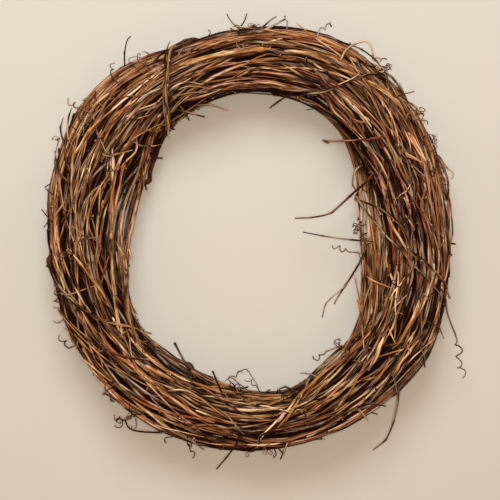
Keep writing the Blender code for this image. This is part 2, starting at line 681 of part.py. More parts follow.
def main():
    for old in list(bpy.data.objects):
        bpy.data.objects.remove(old)
    planned = plan_canes(np.random.default_rng(SEED))
    places, limits, radius, station, cane = wanted_places(planned)
    centres = in_ring(settle(places, limits, radius, station, cane), station)
    canes = stretches(centres, radius, cane)
    binders, floor = make_binders(canes)
    solid = canes
    for number, (points, thick, _, _) in enumerate(binders):
        solid = joined(solid, stretches(points, thick, np.full(len(points), CANE_COUNT + number)))
    shoots = make_shoots(canes, solid)
    to_floor = np.array([0, 0, floor])
    carriers = []
    for number in range(CANE_COUNT):
        mine = cane == number
        carriers.append(cane_object(number, centres[mine] - to_floor, radius[mine], station[mine]))
    for (name, _, _, bark), (points, thick, away, under) in zip(BINDERS, binders):
        binder_object(name, bark, points - to_floor, thick, away, under)
    grown = {}
    for number, (path, thick, owner) in enumerate(shoots):
        shoot = shoot_object(number, path - to_floor, thick, carriers[owner].data.materials[0])
        grown.setdefault(int(owner), []).append(shoot)
    for owner, mine in grown.items():
        join_into(carriers[owner], mine)


main()
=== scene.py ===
# %% [markdown]
# # A grapevine wreath
#
# Such a wreath is wound by hand in winter, from long shoots that were pruned off a grapevine and
# are still green enough to bend. The canes dry, and then the ring holds its shape for years.
# This lesson dresses the wreath's plain CAD canes. Each gets real bark, knots where the leaves
# grew, cut ends and tendrils, and the space between them fills up with thinner shoots.
#
# Everything is worked out as whole numpy arrays and handed to Blender in one go. Lengths are in
# millimetres until a mesh is made.

import json
import math

import bpy
import numpy as np
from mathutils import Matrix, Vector


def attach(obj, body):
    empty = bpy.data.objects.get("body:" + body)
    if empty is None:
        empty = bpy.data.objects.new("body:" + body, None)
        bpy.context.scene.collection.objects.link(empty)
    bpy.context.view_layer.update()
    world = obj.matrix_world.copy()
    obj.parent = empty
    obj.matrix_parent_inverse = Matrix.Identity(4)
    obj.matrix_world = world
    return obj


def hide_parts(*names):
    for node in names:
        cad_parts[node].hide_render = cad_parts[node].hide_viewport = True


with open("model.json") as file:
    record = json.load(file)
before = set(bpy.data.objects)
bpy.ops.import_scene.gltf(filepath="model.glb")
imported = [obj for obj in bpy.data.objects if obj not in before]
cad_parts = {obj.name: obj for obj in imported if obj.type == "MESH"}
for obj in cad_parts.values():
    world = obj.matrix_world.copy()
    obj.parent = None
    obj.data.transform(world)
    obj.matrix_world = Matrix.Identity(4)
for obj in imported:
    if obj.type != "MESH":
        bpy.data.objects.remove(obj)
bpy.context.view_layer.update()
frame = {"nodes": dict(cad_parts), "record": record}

# %% [markdown]
# ## Where the canes run
#
# The CAD gives each cane as a tube with four or five flat sides. What the finished cane needs is
# the line down its middle and its thickness. The tube's rings of corners stand in upright planes
# through the ring's axis, one every 11.25 degrees, so the corners sort themselves: those in one
# plane that are joined by edges are one ring. Each corner in it ends up with the ring's lowest
# corner number. Twigs that were fused on fall between the planes.

# %% Reading a cane's line from its solid
MM = 0.001
TURN = 2 * math.pi
# The upright planes in a turn, and the ring's axis
STATIONS = 32
RING_CENTRE = np.array([-8.28, 2.3])
# A corner this near to a plane lies in it, and two corners this near to each other are one
IN_PLANE = 0.01
SAME_CORNER = 1e-4


def polar(points):
    """Each point's angle round the ring's axis, and its reach: how far from the axis it is."""
    flat = points[:, :2] - RING_CENTRE
    return np.arctan2(flat[:, 1], flat[:, 0]), np.linalg.norm(flat, axis=1)


def on_ring(theta, reach):
    """The places in plan at these angles and reaches."""
    return RING_CENTRE + reach[:, None] * np.column_stack([np.cos(theta), np.sin(theta)])


def welded(node):
    """A CAD node's corners in millimetres, each once, and the edges between them."""
    mesh = frame["nodes"][node].data
    corners = np.empty(3 * len(mesh.vertices))
    mesh.vertices.foreach_get("co", corners)
    corners = corners.reshape(-1, 3) / MM
    _, first, same = np.unique(
        np.round(corners / SAME_CORNER), axis=0, return_index=True, return_inverse=True
    )
    ends = np.empty(2 * len(mesh.edges), dtype=int)
    mesh.edges.foreach_get("vertices", ends)
    edges = np.unique(np.sort(same.reshape(-1)[ends].reshape(-1, 2), axis=1), axis=0)
    return corners[first], edges[edges[:, 0] != edges[:, 1]]


def spread(values, edges, cost=0):
    """Each corner takes the least of its own value and its neighbours' + the edge's cost, over and
    over until nothing changes."""
    while True:
        new = values.copy()
        np.minimum.at(new, edges[:, 0], values[edges[:, 1]] + cost)
        np.minimum.at(new, edges[:, 1], values[edges[:, 0]] + cost)
        if (new == values).all():
            return values
        values = new


def cane_line(node):
    """A cane's rings in order: station number, and reach, height and half thickness.

    Station = angle / 11.25 degrees. A ring's middle is its corners' mean, and its half thickness
    is how far from the middle they lie."""
    corners, edges = welded(node)
    theta, reach = polar(corners)
    angle = theta / TURN * STATIONS
    station = np.round(angle).astype(int)
    in_plane = np.abs(angle - station) * TURN / STATIONS * reach < IN_PLANE
    station %= STATIONS
    pair = in_plane[edges].all(axis=1)
    level = station[edges[:, 0]] == station[edges[:, 1]]
    ring_of = spread(np.arange(len(corners)), edges[pair & level])
    names, ring, size = np.unique(ring_of[in_plane], return_inverse=True, return_counts=True)
    place = np.column_stack([reach[in_plane], corners[in_plane, 2]])
    middle = np.column_stack([np.bincount(ring, place[:, k]) / size for k in (0, 1)])
    thick = np.bincount(ring, np.linalg.norm(place - middle[ring], axis=1)) / size
    plane = np.zeros(len(names), int)
    plane[ring] = station[in_plane]
    links = np.searchsorted(names, ring_of[edges[pair & ~level]])
    links = np.unique(links[(size[links] >= 3).all(axis=1)], axis=0)
    order = [int(np.flatnonzero(np.bincount(links.reshape(-1), minlength=len(names)) == 1)[0])]
    while True:
        beside = links[(links == order[-1]).any(axis=1)].reshape(-1)
        beyond = [n for n in beside if n not in order[-2:]]
        if not beyond:
            break
        order.append(int(beyond[0]))
    steps = (np.diff(plane[order]) + STATIONS // 2) % STATIONS - STATIONS // 2
    along = plane[order[0]] + np.concatenate([[0], np.cumsum(steps)])
    if along[-1] < along[0]:
        order, along = order[::-1], along[::-1]
    return along.astype(float), np.column_stack([middle[order], thick[order]])


CANES = sorted(name for name in frame["nodes"] if name.startswith("cane_"))
cane_lines = {name: cane_line(name) for name in CANES}
print("canes:", len(CANES), "rings read:", sum(len(along) for along, _ in cane_lines.values()))

# %% [markdown]
# The two binding canes wind round the bundle, so their rings stand at every angle. They have no
# twigs, though. Going from one end to the other over the surface, each ring of five corners lies
# further on than the one before, so sorting the corners by that distance and taking them five
# at a time gives the rings.

# %% Reading a binding cane's line
BINDER_SIDES = 5


def way_from(corner, corners, edges):
    """How far each corner is from one of them along the edges: shortest sums of edge lengths."""
    far = np.where(np.arange(len(corners)) == corner, 0.0, np.inf)
    return spread(far, edges, np.linalg.norm(corners[edges[:, 0]] - corners[edges[:, 1]], axis=1))


def binder_line(node):
    """A binding cane's ring middles in order, and its half thickness at each."""
    corners, edges = welded(node)
    start = int(np.argmax(way_from(0, corners, edges)))
    from_start = way_from(start, corners, edges)
    from_end = way_from(int(np.argmax(from_start)), corners, edges)
    rings = corners[np.argsort(from_start - from_end)].reshape(-1, BINDER_SIDES, 3)
    middle = rings.mean(axis=1)
    return middle, np.linalg.norm(rings - middle[:, None], axis=2).mean(axis=1)


BINDERS = ("thick_binding_cane", "thin_binding_cane")
binder_lines = {name: binder_line(name) for name in BINDERS}
for name, (middle, thick) in binder_lines.items():
    print(name, "rings:", len(middle), "from", middle[0].round(), "to", middle[-1].round())

# %% [markdown]
# ## Thin canes to fill the bundle
#
# A real wreath has far more shoots than its twenty main canes: thinner ones run with them, cross
# over them and wrap round the lot. They are found the way they are found by hand, by letting them
# push each other aside. Every thin cane starts on a spiral round the bundle, as points in the
# same kind of upright planes. Then, step by step, whatever overlaps parts, and each cane
# straightens itself a little, until all of them lie beside or on top of each other.

# %% The bundle's outline
# Radii every 22.5 degrees, starting at +X and turning towards +Y
OUTER_RADIUS = (235, 242, 250, 254, 244, 239, 251, 241, 230, 230, 236, 243, 243, 242, 247, 245)
INNER_RADIUS = (128, 139, 161, 172, 170, 163, 141, 133, 133, 146, 160, 161, 174, 177, 156, 138)
# The bundle is deeper where it is narrower, its section is a rounded rectangle's, and its underside
# is this high above the floor
NARROW_BAND = 68.0
DEPTH_AT_NARROW = 62.0
DEPTH_POWER = 0.7
SQUARENESS = 2.4
UNDERSIDE = 4.2
# Loose stretches: middle and half length in degrees, and how far they widen the bundle, inwards below 0
LOOSE = ((176, 44, -24), (-6, 50, -30), (-38, 24, -10), (12, 26, 5), (188, 24, 3))


def ring_curve(samples):
    """A smooth closed curve through evenly spaced radii, as the sum of their sines and cosines."""
    waves = np.fft.rfft(samples) / len(samples)
    order = np.arange(len(waves))
    weight = np.where((order == 0) | (order == len(samples) // 2), 1.0, 2.0)
    return lambda theta: (weight * waves * np.exp(1j * np.multiply.outer(theta, order))).real.sum(-1)


outer_radius = ring_curve(OUTER_RADIUS)
inner_radius = ring_curve(INNER_RADIUS)


def nearness(theta, middle, half):
    """1 at the middle of a stretch of the ring, falling smoothly to 0 at its ends."""
    middle, half = math.radians(middle), math.radians(half)
    away = (theta - middle + math.pi) % TURN - math.pi
    return np.where(np.abs(away) < half, np.cos(away / half * math.pi / 2) ** 2, 0.0)


def band(theta):
    """The bundle's section at an angle: its middle (reach, height), and half its width and depth."""
    outer, inner = outer_radius(theta), inner_radius(theta)
    for middle, half, wider in LOOSE:
        outer = outer - max(wider, 0) * nearness(theta, middle, half)
        inner = inner - min(wider, 0) * nearness(theta, middle, half)
    width = outer - inner
    depth = DEPTH_AT_NARROW * (NARROW_BAND / width) ** DEPTH_POWER
    middle = np.stack([(outer + inner) / 2, depth / 2 + UNDERSIDE], axis=-1)
    return middle, np.stack([width, depth], axis=-1) / 2


def fullness(place):
    """How far out a point of the section lies: 0 in the middle and 1 on its rounded outline."""
    return (np.abs(place) ** SQUARENESS).sum(axis=-1) ** (1 / SQUARENESS)


quarter = np.arange(4) * TURN / 4
print("band's width and depth, every quarter:", (2 * band(quarter)[1]).round().tolist())

# %% Planning the thin canes
SEED = 411
FINE_STATIONS = 64
# Kind: how many, turns about the bundle in a turn of the ring, place from middle to surface, wander
THIN_KINDS = {
    "wrapping": (34, (0.3, 1.6), 1.00, 0.03),
    "lying": (22, (0.05, 0.5), 0.90, 0.10),
    "core": (6, (0.1, 0.5), 0.50, 0.25),
}
# Least and most: turns of the ring, and half thickness at base and tip
THIN_TURNS = (0.35, 1.35)
THIN_BASE = (1.0, 2.1)
THIN_TIP = (0.65, 1.0)
# The angle and the level wave this often in a turn. The angle's waves are 0.34 radians / that number.
WAVES = (1.1, 2.3, 4.1)
WAVE_SIZE = 0.34
TAPER_POWER = 1.2
rng = np.random.default_rng(SEED)


def plan_thin(kind):
    """One thin cane: a spiral round the bundle with slow waves in its angle and its level."""
    _, (slow, fast), level, wander = THIN_KINDS[kind]
    steps = int(round(rng.uniform(*THIN_TURNS) * FINE_STATIONS))
    along = np.arange(steps + 1) / FINE_STATIONS
    twist = rng.uniform(slow, fast) * rng.choice([-1, 1])
    angle = TURN * (rng.uniform() + twist * along)
    level = np.full_like(along, level)
    for wave in WAVES:
        angle += WAVE_SIZE / wave * np.sin(TURN * (wave * along + rng.uniform()))
        level += wander * np.sin(TURN * (wave * along + rng.uniform()))
    station = rng.integers(FINE_STATIONS) + np.arange(steps + 1)
    base, tip = rng.uniform(*THIN_BASE), rng.uniform(*THIN_TIP)
    share = along / along[-1] if rng.uniform() < 0.5 else 1 - along / along[-1]
    ray = np.column_stack([np.cos(angle), np.sin(angle)])
    place = ray * (np.clip(level, 0, 1) / fullness(ray))[:, None]
    return station, place, base + (tip - base) * share ** TAPER_POWER


thin_plans = [plan_thin(kind) for kind, (count, *_) in THIN_KINDS.items() for _ in range(count)]
print("thin canes:", len(thin_plans), "turns in all:",
      round(sum(len(station) for station, *_ in thin_plans) / FINE_STATIONS, 1))

# %% A smooth curve through a row of values
def through(values, spots):
    """A smooth curve through evenly spaced values (Catmull-Rom), read at any spots between them."""
    ends = np.vstack([2 * values[:1] - values[1:2], values, 2 * values[-1:] - values[-2:-1]])
    whole = np.clip(np.floor(spots).astype(int), 0, len(values) - 2)
    share = (spots - whole)[:, None]
    before, start, end, after = (ends[whole + k] for k in range(4))
    return 0.5 * (
        2 * start + share * (end - before)
        + share ** 2 * (2 * before - 5 * start + 4 * end - after)
        + share ** 3 * (3 * start - before - 3 * end + after)
    )


print("halfway along a corner:", through(np.array([[0.0, 0], [1, 0], [1, 1]]), np.array([0.5]))[0])

# %% Letting the thin canes find room
# Lengths in mm: the gap kept between canes, how far they may pass the outline, and when two are near
THIN_GAP = 0.05
ROOM = 1.4
NEARBY = 4.0
# In one step: the pull to the plan, the straightening, and the share of an overlap that is undone
PULL = 0.02
STIFFNESS = 0.30
SHARE_OF_PUSH = 0.6
CALM_STEPS = 240
SETTLE_STEPS = 420
LOOK_ROUND_EVERY = 10


def crowding(place, radius, one, other):
    """Each pair's overlap at its closest, the direction it parts in, and how far along that is."""
    start = place[one] - place[other]
    change = place[one + 1] - place[other + 1] - start
    share = np.clip(-(start * change).sum(1) / np.maximum((change ** 2).sum(1), 1e-9), 0, 1)
    apart = start + share[:, None] * change
    distance = np.linalg.norm(apart, axis=1)
    touch = radius[one] + radius[other]
    touch = touch + share * (radius[one + 1] + radius[other + 1] - touch)
    return touch + THIN_GAP - distance, apart / np.maximum(distance, 1e-6)[:, None], share


def pairs_of(station, cane, fixed):
    """Every two stretches between the same two planes, apart from two of the main canes."""
    first = np.flatnonzero(cane[1:] == cane[:-1])
    between = station[first] % FINE_STATIONS
    found = []
    for plane in range(FINE_STATIONS):
        here = first[between == plane]
        a, b = np.triu_indices(len(here), 1)
        loose = ~(fixed[here[a]] & fixed[here[b]])
        found.append(np.stack([here[a[loose]], here[b[loose]]]))
    return np.concatenate(found, axis=1)


def settle(place, radius, station, cane, fixed):
    """Parts all that overlap, step by step, while every thin cane stays smooth and in the bundle."""
    middle, half = band(TURN * station / FINE_STATIONS)
    limit = half - radius[:, None] + ROOM
    wanted, free = place.copy(), (~fixed)[:, None]
    pairs = pairs_of(station, cane, fixed)
    inner = np.flatnonzero((cane[1:-1] == cane[:-2]) & (cane[1:-1] == cane[2:])) + 1
    for step in range(SETTLE_STEPS):
        if step % LOOK_ROUND_EVERY == 0:
            overlap, _, _ = crowding(place, radius, *pairs)
            one, other = pairs[:, overlap > -NEARBY]
        calm = max(0.0, 1 - step / CALM_STEPS)
        move = PULL * calm * (wanted - place)
        move[inner] += STIFFNESS * calm * (place[inner - 1] + place[inner + 1] - 2 * place[inner])
        overlap, direction, share = crowding(place, radius, one, other)
        hit = np.flatnonzero(overlap > 0)
        weight = np.stack([1 - share[hit], share[hit]], axis=1)
        weight /= (weight ** 2).sum(1, keepdims=True)
        alone = 0.5 + 0.5 * (fixed[one[hit]] | fixed[other[hit]])
        push = (SHARE_OF_PUSH * alone * overlap[hit])[:, None] * direction[hit]
        for end in (0, 1):
            for sign, who in ((1, one[hit] + end), (-1, other[hit] + end)):
                for axis in (0, 1):
                    move[:, axis] += np.bincount(who, sign * push[:, axis] * weight[:, end], len(move))
        place = place + free * move
        over = np.maximum(fullness((place - middle) / limit), 1.0)[:, None]
        place = np.where(free, middle + (place - middle) / over, place)
    overlap, _, _ = crowding(place, radius, one, other)
    print("overlaps left over 0.5 mm:", int((overlap > 0.5).sum()), "worst:", overlap.max().round(2))
    return place


def half_stations(line):
    """A main cane's rings, and the points midway between them: a point every 5.6 degrees."""
    along, values = line
    spots = np.arange(2 * len(along) - 1) / 2
    return np.round(2 * (along[0] + spots)).astype(int), through(values, spots)


# %% All canes together
known = [half_stations(cane_lines[name]) for name in CANES]
station = np.concatenate([s for s, _ in known] + [s for s, *_ in thin_plans])
count = np.array([len(s) for s, _ in known] + [len(s) for s, *_ in thin_plans])
cane = np.repeat(np.arange(len(count)), count)
fixed = cane < len(CANES)
radius = np.concatenate([v[:, 2] for _, v in known] + [r for *_, r in thin_plans])
middle, half = band(TURN * station / FINE_STATIONS)
place = middle + (half - radius[:, None]) * np.concatenate(
    [np.zeros((len(v), 2)) for _, v in known] + [p for _, p, _ in thin_plans]
)
place[fixed] = np.concatenate([v[:, :2] for _, v in known])
place = settle(place, radius, station, cane, fixed)
thin_lines = [
    (station[cane == n].astype(float), np.column_stack([place[cane == n], radius[cane == n]]))
    for n in range(len(CANES), len(count))
]
print("thin canes settled:", len(thin_lines))

# %% [markdown]
# ## From a line to a grown cane
#
# A vine grows in lengths between buds. At each bud it is swollen, and it sets off again at a
# slightly different angle, first to one side and then to the other, which makes the canes look
# alive rather than bent from wire. The same few functions serve the thickest cane and the
# finest tendril. The line is resampled, it gets its buds, and a skin is wrapped round it.

# %% Lines, buds and bends
# The middle of the band is about this far from the ring's axis
RING_RADIUS = 200.0
# For each kind of strand: least and most from bud to bud, bend, swelling, and how straight it is between
BUDS = {
    "main": ((70, 120), 0.9, 0.30, 0.15),
    "binding": ((60, 100), 0.3, 0.25, 0.0),
    "thin": ((55, 110), 1.0, 0.40, 0.2),
    "long": ((45, 90), 0.45, 0.35, 0.15),
    "shoot": ((22, 40), 0.9, 0.45, 0.5),
    "cane on top": ((30, 70), 0.4, 0.35, 0.2),
    "twig on top": ((20, 42), 0.5, 0.45, 0.5),
    "strewn twig": ((20, 45), 0.4, 0.5, 0.0),
}
# No bud is nearer to an end, and a swelling is this long for the thickness
END = 5.0
SWOLLEN = 1.6
# The thickness varies by this share, in three waves of between these lengths
UNEVEN = 0.025
UNEVEN_EVERY = (25, 70)


def unit(vectors):
    """Each vector divided by its length."""
    return vectors / np.maximum(np.linalg.norm(vectors, axis=-1, keepdims=True), 1e-9)


def lengths(points):
    """How far along its line each point lies."""
    return np.concatenate([[0], np.cumsum(np.linalg.norm(np.diff(points, axis=0), axis=1))])


def respaced(points, thick, step):
    """The same line with its points evenly spaced, about one step apart."""
    length = lengths(points)
    spots = np.linspace(0, length[-1], max(3, int(round(length[-1] / step)) + 1))
    line = np.column_stack([np.interp(spots, length, values) for values in points.T])
    return line, np.interp(spots, length, thick)


def rounded(points, times):
    """A line with its corners taken off: each point moves to a quarter, a half and a quarter of
    itself and its neighbours, and the ends stay."""
    for _ in range(times):
        middle = (points[:-2] + 2 * points[1:-1] + points[2:]) / 4
        points = np.vstack([points[:1], middle, points[-1:]])
    return points


def ring_line(line, per_turn, step):
    """A cane's line round the ring: angle = turn / planes * station, with reach and height smooth."""
    along, values = line
    far = (len(along) - 1) * TURN / per_turn * RING_RADIUS
    spots = np.linspace(0, len(along) - 1, int(far / step) + 2)
    reach, height, thick = through(values, spots).T
    return np.column_stack([on_ring(TURN * (along[0] + spots) / per_turn, reach), height]), thick


def with_buds(points, thick, kind):
    """A line with its buds: between them it is straighter, and at each it bends and is swollen.

    straight: the share of the way from the curve to the straight line between two buds
    bend: the line moves aside by alternating amounts at the buds, in a straight line between
    swelling: thickness * (1 + swelling * exp(-(distance to the bud / 1.6 thicknesses)^2))."""
    spacing, bend, swelling, straight = BUDS[kind]
    length = lengths(points)
    gaps = rng.uniform(*spacing, size=int(length[-1] / spacing[0]) + 3)
    buds = np.cumsum(gaps) - gaps[0] * rng.uniform()
    corner = np.concatenate([[0], buds[(buds > END) & (buds < length[-1] - END)], length[-1:]])
    at_buds = [np.interp(corner, length, points[:, axis]) for axis in range(3)]
    chords = np.column_stack([np.interp(length, corner, values) for values in at_buds])
    points = points + straight * (chords - points)
    ahead = unit(np.gradient(points, axis=0))
    aside = unit(np.cross(ahead, [0, 0, 1.0]) + [0, 0, 1e-6])
    lean = rng.uniform(0, TURN)
    swing = bend * rng.uniform(0.4, 1.0, len(buds)) * (-1.0) ** np.arange(len(buds))
    off = np.interp(length, buds, swing)[:, None]
    moved = points + off * (math.cos(lean) * aside + math.sin(lean) * np.cross(aside, ahead))
    nearest = np.abs(length[:, None] - buds).min(axis=1)
    waves = (np.sin(TURN * (length / rng.uniform(*UNEVEN_EVERY) + rng.uniform())) for _ in range(3))
    wave = sum(waves)
    bulge = swelling * np.exp(-((nearest / (SWOLLEN * thick + 1.0)) ** 2))
    return moved, thick * (1 + UNEVEN * wave + bulge)


print("kinds of strand:", ", ".join(BUDS))

# %% [markdown]
# ### The skin, its weather and its painted light and shade
#
# A skin is a row of rings, each square to the line, with a bevel and a flat of bare wood at each
# cut end. Two sets of numbers travel with every corner, so that the bark can follow the cane however
# it winds: where the corner lies along the cane and round it, in millimetres, and what it is like
# there: the cane's own tone, whether it is a cut end, and how weathered it is, which also carries
# painted light and shade.
#
# The bark's colour carries painted light and shade, partly standing for bleaching by sun and air.
# It is lighter on the outside of the bundle, with a painted highlight on the crest of each strand
# and painted light on the side that faces the wreath's top, where the key lamp stands. In the gaps
# between strands, inside the bundle and in the hollows of its front, it is darkened as painted shade.

# %% Hollows in the front
# Millimetres to a pixel of the photograph, and the pixel at the origin
PIXEL = 1.15
PIXEL_ORIGIN = np.array([254.2, 242.0])
# Middle in pixels of the photograph, and half its length along the ring and across it in mm
# Long canes end in a hollow, and the bark in it is darkened as painted shade
HOLLOWS = (
    (250, 428, 26, 9), (298, 415, 30, 11), (342, 370, 18, 8), (78, 266, 16, 6), (97, 222, 24, 8),
    (97, 182, 24, 9), (117, 110, 12, 5), (213, 78, 14, 5), (262, 72, 24, 6), (394, 180, 12, 6),
    (415, 214, 20, 8), (430, 314, 16, 6), (78, 331, 22, 8), (310, 84, 20, 6), (160, 398, 18, 5),
    (114, 366, 26, 9), (433, 247, 20, 6), (72, 284, 14, 6), (200, 433, 26, 5), (330, 423, 24, 6),
    (374, 366, 26, 8), (66, 232, 20, 7), (404, 322, 22, 6),
)
# Long canes end where the hollow they run into is this deep
BARE_HOLLOW = 0.55


def to_front(pixels):
    """Pixels of the photograph as millimetres across and up the wreath's front."""
    return (np.asarray(pixels, float) - PIXEL_ORIGIN) * PIXEL * (1, -1)


def hollowness(spots):
    """1 in the middle of a hollow, 1/e at its edge, and 0 well outside:
    exp(-(along / half length)^2 - (across / half width)^2)."""
    hollows = np.array(HOLLOWS, float)
    middle = to_front(hollows[:, :2])
    across = unit(middle - RING_CENTRE)
    along = np.column_stack([-across[:, 1], across[:, 0]])
    off = spots[:, None] - middle
    far = ((off * along).sum(-1) / hollows[:, 2]) ** 2 + ((off * across).sum(-1) / hollows[:, 3]) ** 2
    return np.exp(-far).max(axis=1)


print("hollows:", len(HOLLOWS))

# %% Sun and air on the bark
# Painted shade and light by how far out in the section a corner lies: dark inside, light outside
SHELTERED = 0.82
EXPOSED = 0.98
# In front, painted shade by depth in the pile: the value at the pile's mean height, and millimetres
# above the mean to gain 1, close by and wide around
AT_MEAN = 0.73
TO_DARK = 4.2
TO_DARK_WIDE = 17.0
# Painted highlight on the strand's crest against its sides, painted shade in the hollows, and painted
# light on the side that faces the wreath's top
CREST = 0.55
CREST_MEAN = 0.6
HOLLOW_PAINTED_SHADE = 0.95
TOP_SIDE_PAINTED_LIGHT = 0.56
# The front begins at this height, and comes in over this much
FRONT_HALF = 36.0
FADE = 12.0


def bundle_heart(points):
    """The middle of the bundle's section that each point lies in, and how far out the point is."""
    theta, reach = polar(points)
    middle, half = band(theta)
    place = np.column_stack([reach, points[:, 2]]) - middle
    return np.column_stack([on_ring(theta, middle[:, 0]), middle[:, 1]]), fullness(place / half)


def weathering(corners, rise):
    """How much painted light reaches each corner, partly standing for weathering: 0 painted shade deep
    inside, 1 light in the open.

    sides and back = (how far out - sheltered) / (exposed - sheltered)
    front = at the mean + height over the mean close by / 4.2 mm + the same wide around / 17 mm
            + painted crest highlight * (rise in the strand - 0.6) - hollow * hollowness
    and both + painted light on the top side * (how far the corner faces the wreath's top)."""
    heart, out = bundle_heart(corners)
    out = (out - SHELTERED) / (EXPOSED - SHELTERED)
    cell = cell_of(corners)
    close, wide = (level[cell[:, 0], cell[:, 1]] for level in (mean_close, mean_wide))
    high = AT_MEAN + (corners[:, 2] - close) / TO_DARK + (corners[:, 2] - wide) / TO_DARK_WIDE
    high += CREST * (rise - CREST_MEAN) - HOLLOW_PAINTED_SHADE * hollowness(corners[:, :2])
    front = np.clip((corners[:, 2] - FRONT_HALF) / FADE, 0, 1)
    top_side_light = TOP_SIDE_PAINTED_LIGHT * unit(corners - heart)[:, 1]
    return np.clip(out + front * (high - out) + top_side_light, 0, 1)


print("sheltered inside", SHELTERED, "of the way out, in the open from", EXPOSED)

# %% Wrapping a skin round a line
# Ridges along the bark: how high for the cane's thickness, and how far along they turn once about it
RIDGES = 0.055
RIDGE_TURN = 33.0
# A cut end: its width and its length, for the cane's half thickness
BEVEL = 0.8
BEVEL_LONG = 0.3
# No strand's middle comes nearer to the highest level than 1.1 half thicknesses
HIGHEST = 76.3
UNDER_HIGHEST = 1.1
# Each strand starts somewhere else in the bark's pattern, up to this far along
PATTERN = 997.0


def carried(ahead):
    """A direction square to a line at each point, that turns no more than the line itself does."""
    facing = np.cross(ahead[0], np.eye(3)[np.argmin(np.abs(ahead[0]))])
    found = []
    for forward in ahead:
        facing = unit(facing - (facing @ forward) * forward)
        found.append(facing)
    return np.array(found)


def skin(points, thick, sides, tone, ridges=RIDGES, facing=None, width=1.0):
    """A closed tube. corner = middle + thick * ridge * (cos(a) * facing * width + sin(a) * aside)

    where a goes round the ring, and ridge = 1 + ridges * (cos(2a + slow turn) + cos(3a - turn)/2)."""
    low_enough = np.minimum(points[:, 2], HIGHEST - UNDER_HIGHEST * thick)
    points = np.column_stack([points[:, :2], low_enough])
    ahead = unit(np.gradient(points, axis=0))
    start = points[0] - BEVEL_LONG * thick[0] * ahead[0]
    end = points[-1] + BEVEL_LONG * thick[-1] * ahead[-1]
    points = np.vstack([start, points, end])
    thick = np.concatenate([thick[:1] * BEVEL, thick, thick[-1:] * BEVEL])
    ahead = np.vstack([ahead[:1], ahead, ahead[-1:]])
    bare = np.zeros(len(points))
    bare[[0, -1]] = 1.0
    if facing is None:
        facing = carried(ahead)
    else:
        facing = np.broadcast_to(facing, (len(points) - 2, 3))
        facing = np.vstack([facing[:1], facing, facing[-1:]])
        facing = unit(facing - (facing * ahead).sum(axis=1, keepdims=True) * ahead)
    aside = np.cross(ahead, facing)
    length = lengths(points)
    around = TURN * np.arange(sides) / sides
    turn = (length / RIDGE_TURN + TURN * rng.uniform())[:, None]
    ridge = 1 + ridges * (np.cos(2 * around + turn) + 0.5 * np.cos(3 * around - 1.7 * turn))
    reach = thick[:, None] * ridge
    across, up = reach * np.cos(around), reach * np.sin(around)
    corners = (
        points[:, None] + width * across[..., None] * facing[:, None] + up[..., None] * aside[:, None]
    )
    along = length[:, None] + PATTERN * rng.uniform()
    grain = np.stack(np.broadcast_arrays(along, across, up), axis=-1)
    rise = (corners[..., 2] - points[:, None, 2]) / reach
    # Painted light and shade for every corner, partly standing for weathering
    painted_light_and_weather = weathering(corners.reshape(-1, 3), rise.ravel()).reshape(up.shape)
    strand = np.stack(np.broadcast_arrays(tone, bare[:, None], painted_light_and_weather), axis=-1)
    ring = np.arange(len(points) * sides).reshape(len(points), sides)
    after = np.roll(ring, -1, axis=1)
    walls = np.stack([ring[:-1], after[:-1], after[1:], ring[1:]], axis=-1).reshape(-1, 4)
    ends = np.stack([ring[0][::-1], ring[-1]])
    flat = {"corners": corners, "grain": grain, "strand": strand}
    return {key: values.reshape(-1, 3) for key, values in flat.items()} | {"faces": (walls, ends)}


print("ridges:", RIDGES, "of the thickness, turning once in", round(TURN * RIDGE_TURN), "mm")

# %% One object of many skins
def piece(name, skins, slot, *nodes):
    """One object of many skins. It rides on the wreath's only body and may stand for CAD nodes."""
    first = np.cumsum([0] + [len(s["corners"]) for s in skins])
    faces = []
    for start, tube in zip(first, skins):
        faces += [face for kind in tube["faces"] for face in (kind + start).tolist()]
    corners = np.concatenate([s["corners"] for s in skins])
    corners[:, 2] = np.maximum(corners[:, 2], 0.0)
    mesh = bpy.data.meshes.new(name)
    mesh.from_pydata((corners * MM).tolist(), [], faces)
    mesh.polygons.foreach_set("use_smooth", np.ones(len(faces), dtype=bool))
    for key in ("grain", "strand"):
        values = np.concatenate([s[key] for s in skins]).astype(np.float32)
        mesh.attributes.new(key, "FLOAT_VECTOR", "POINT").data.foreach_set("vector", values.reshape(-1))
    mesh.materials.append(finish[slot])
    mesh.update()
    made = bpy.data.objects.new(name, mesh)
    bpy.context.scene.collection.objects.link(made)
    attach(made, "root")
    if nodes:
        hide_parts(*nodes)
    triangles = sum(len(f) - 2 for f in faces)
    print(f"{name}: {len(skins)} skins, {triangles} triangles")
    return made


# %% [markdown]
# ## Bark
#
# Dry grapevine bark is matt, fibrous and split lengthwise. Its outer layer frays off in strips and
# shows cinnamon to golden wood beneath, which is what catches the light, and deep in the splits it
# is nearly black. So the colour is built from streaks stretched along the grain: fine fibres, wider
# strips of bared wood, and slow changes along the cane. Each cane has its own tone. The pale canes
# are young and smooth, and the dark ones old and split, so the tone decides how many splits show.
# The painted light and shade then goes from a dark colour of painted shade in sheltered places to
# this colour, and cut ends show the bare wood. The bark is made in a function because there are five
# of them.

# %% The bark materials
# Spacing along the cane and across it. Real fibres are about 0.3 mm wide and the strips 1 mm: at
# 1.15 mm to a pixel they would vanish, so they are 1.5 and 2.2 mm here.
FIBRE = (1 / 20.0, 1 / 1.5, 1 / 1.5)
STRIPS = (1 / 45.0, 1 / 2.2, 1 / 2.2)
SLOW = (1 / 90.0, 1 / 30.0, 1 / 30.0)
# A Map Range node goes from the values at its inputs 1 and 2 to those at 3 and 4. A Mix node takes
# its colours at inputs 6 and 7 and gives one at output 2.
# The noise where a split ends and whole bark begins, and how much a cane's tone adds to it
SPLIT = {1: 0.50, 2: 0.65}
SMOOTH = 0.16
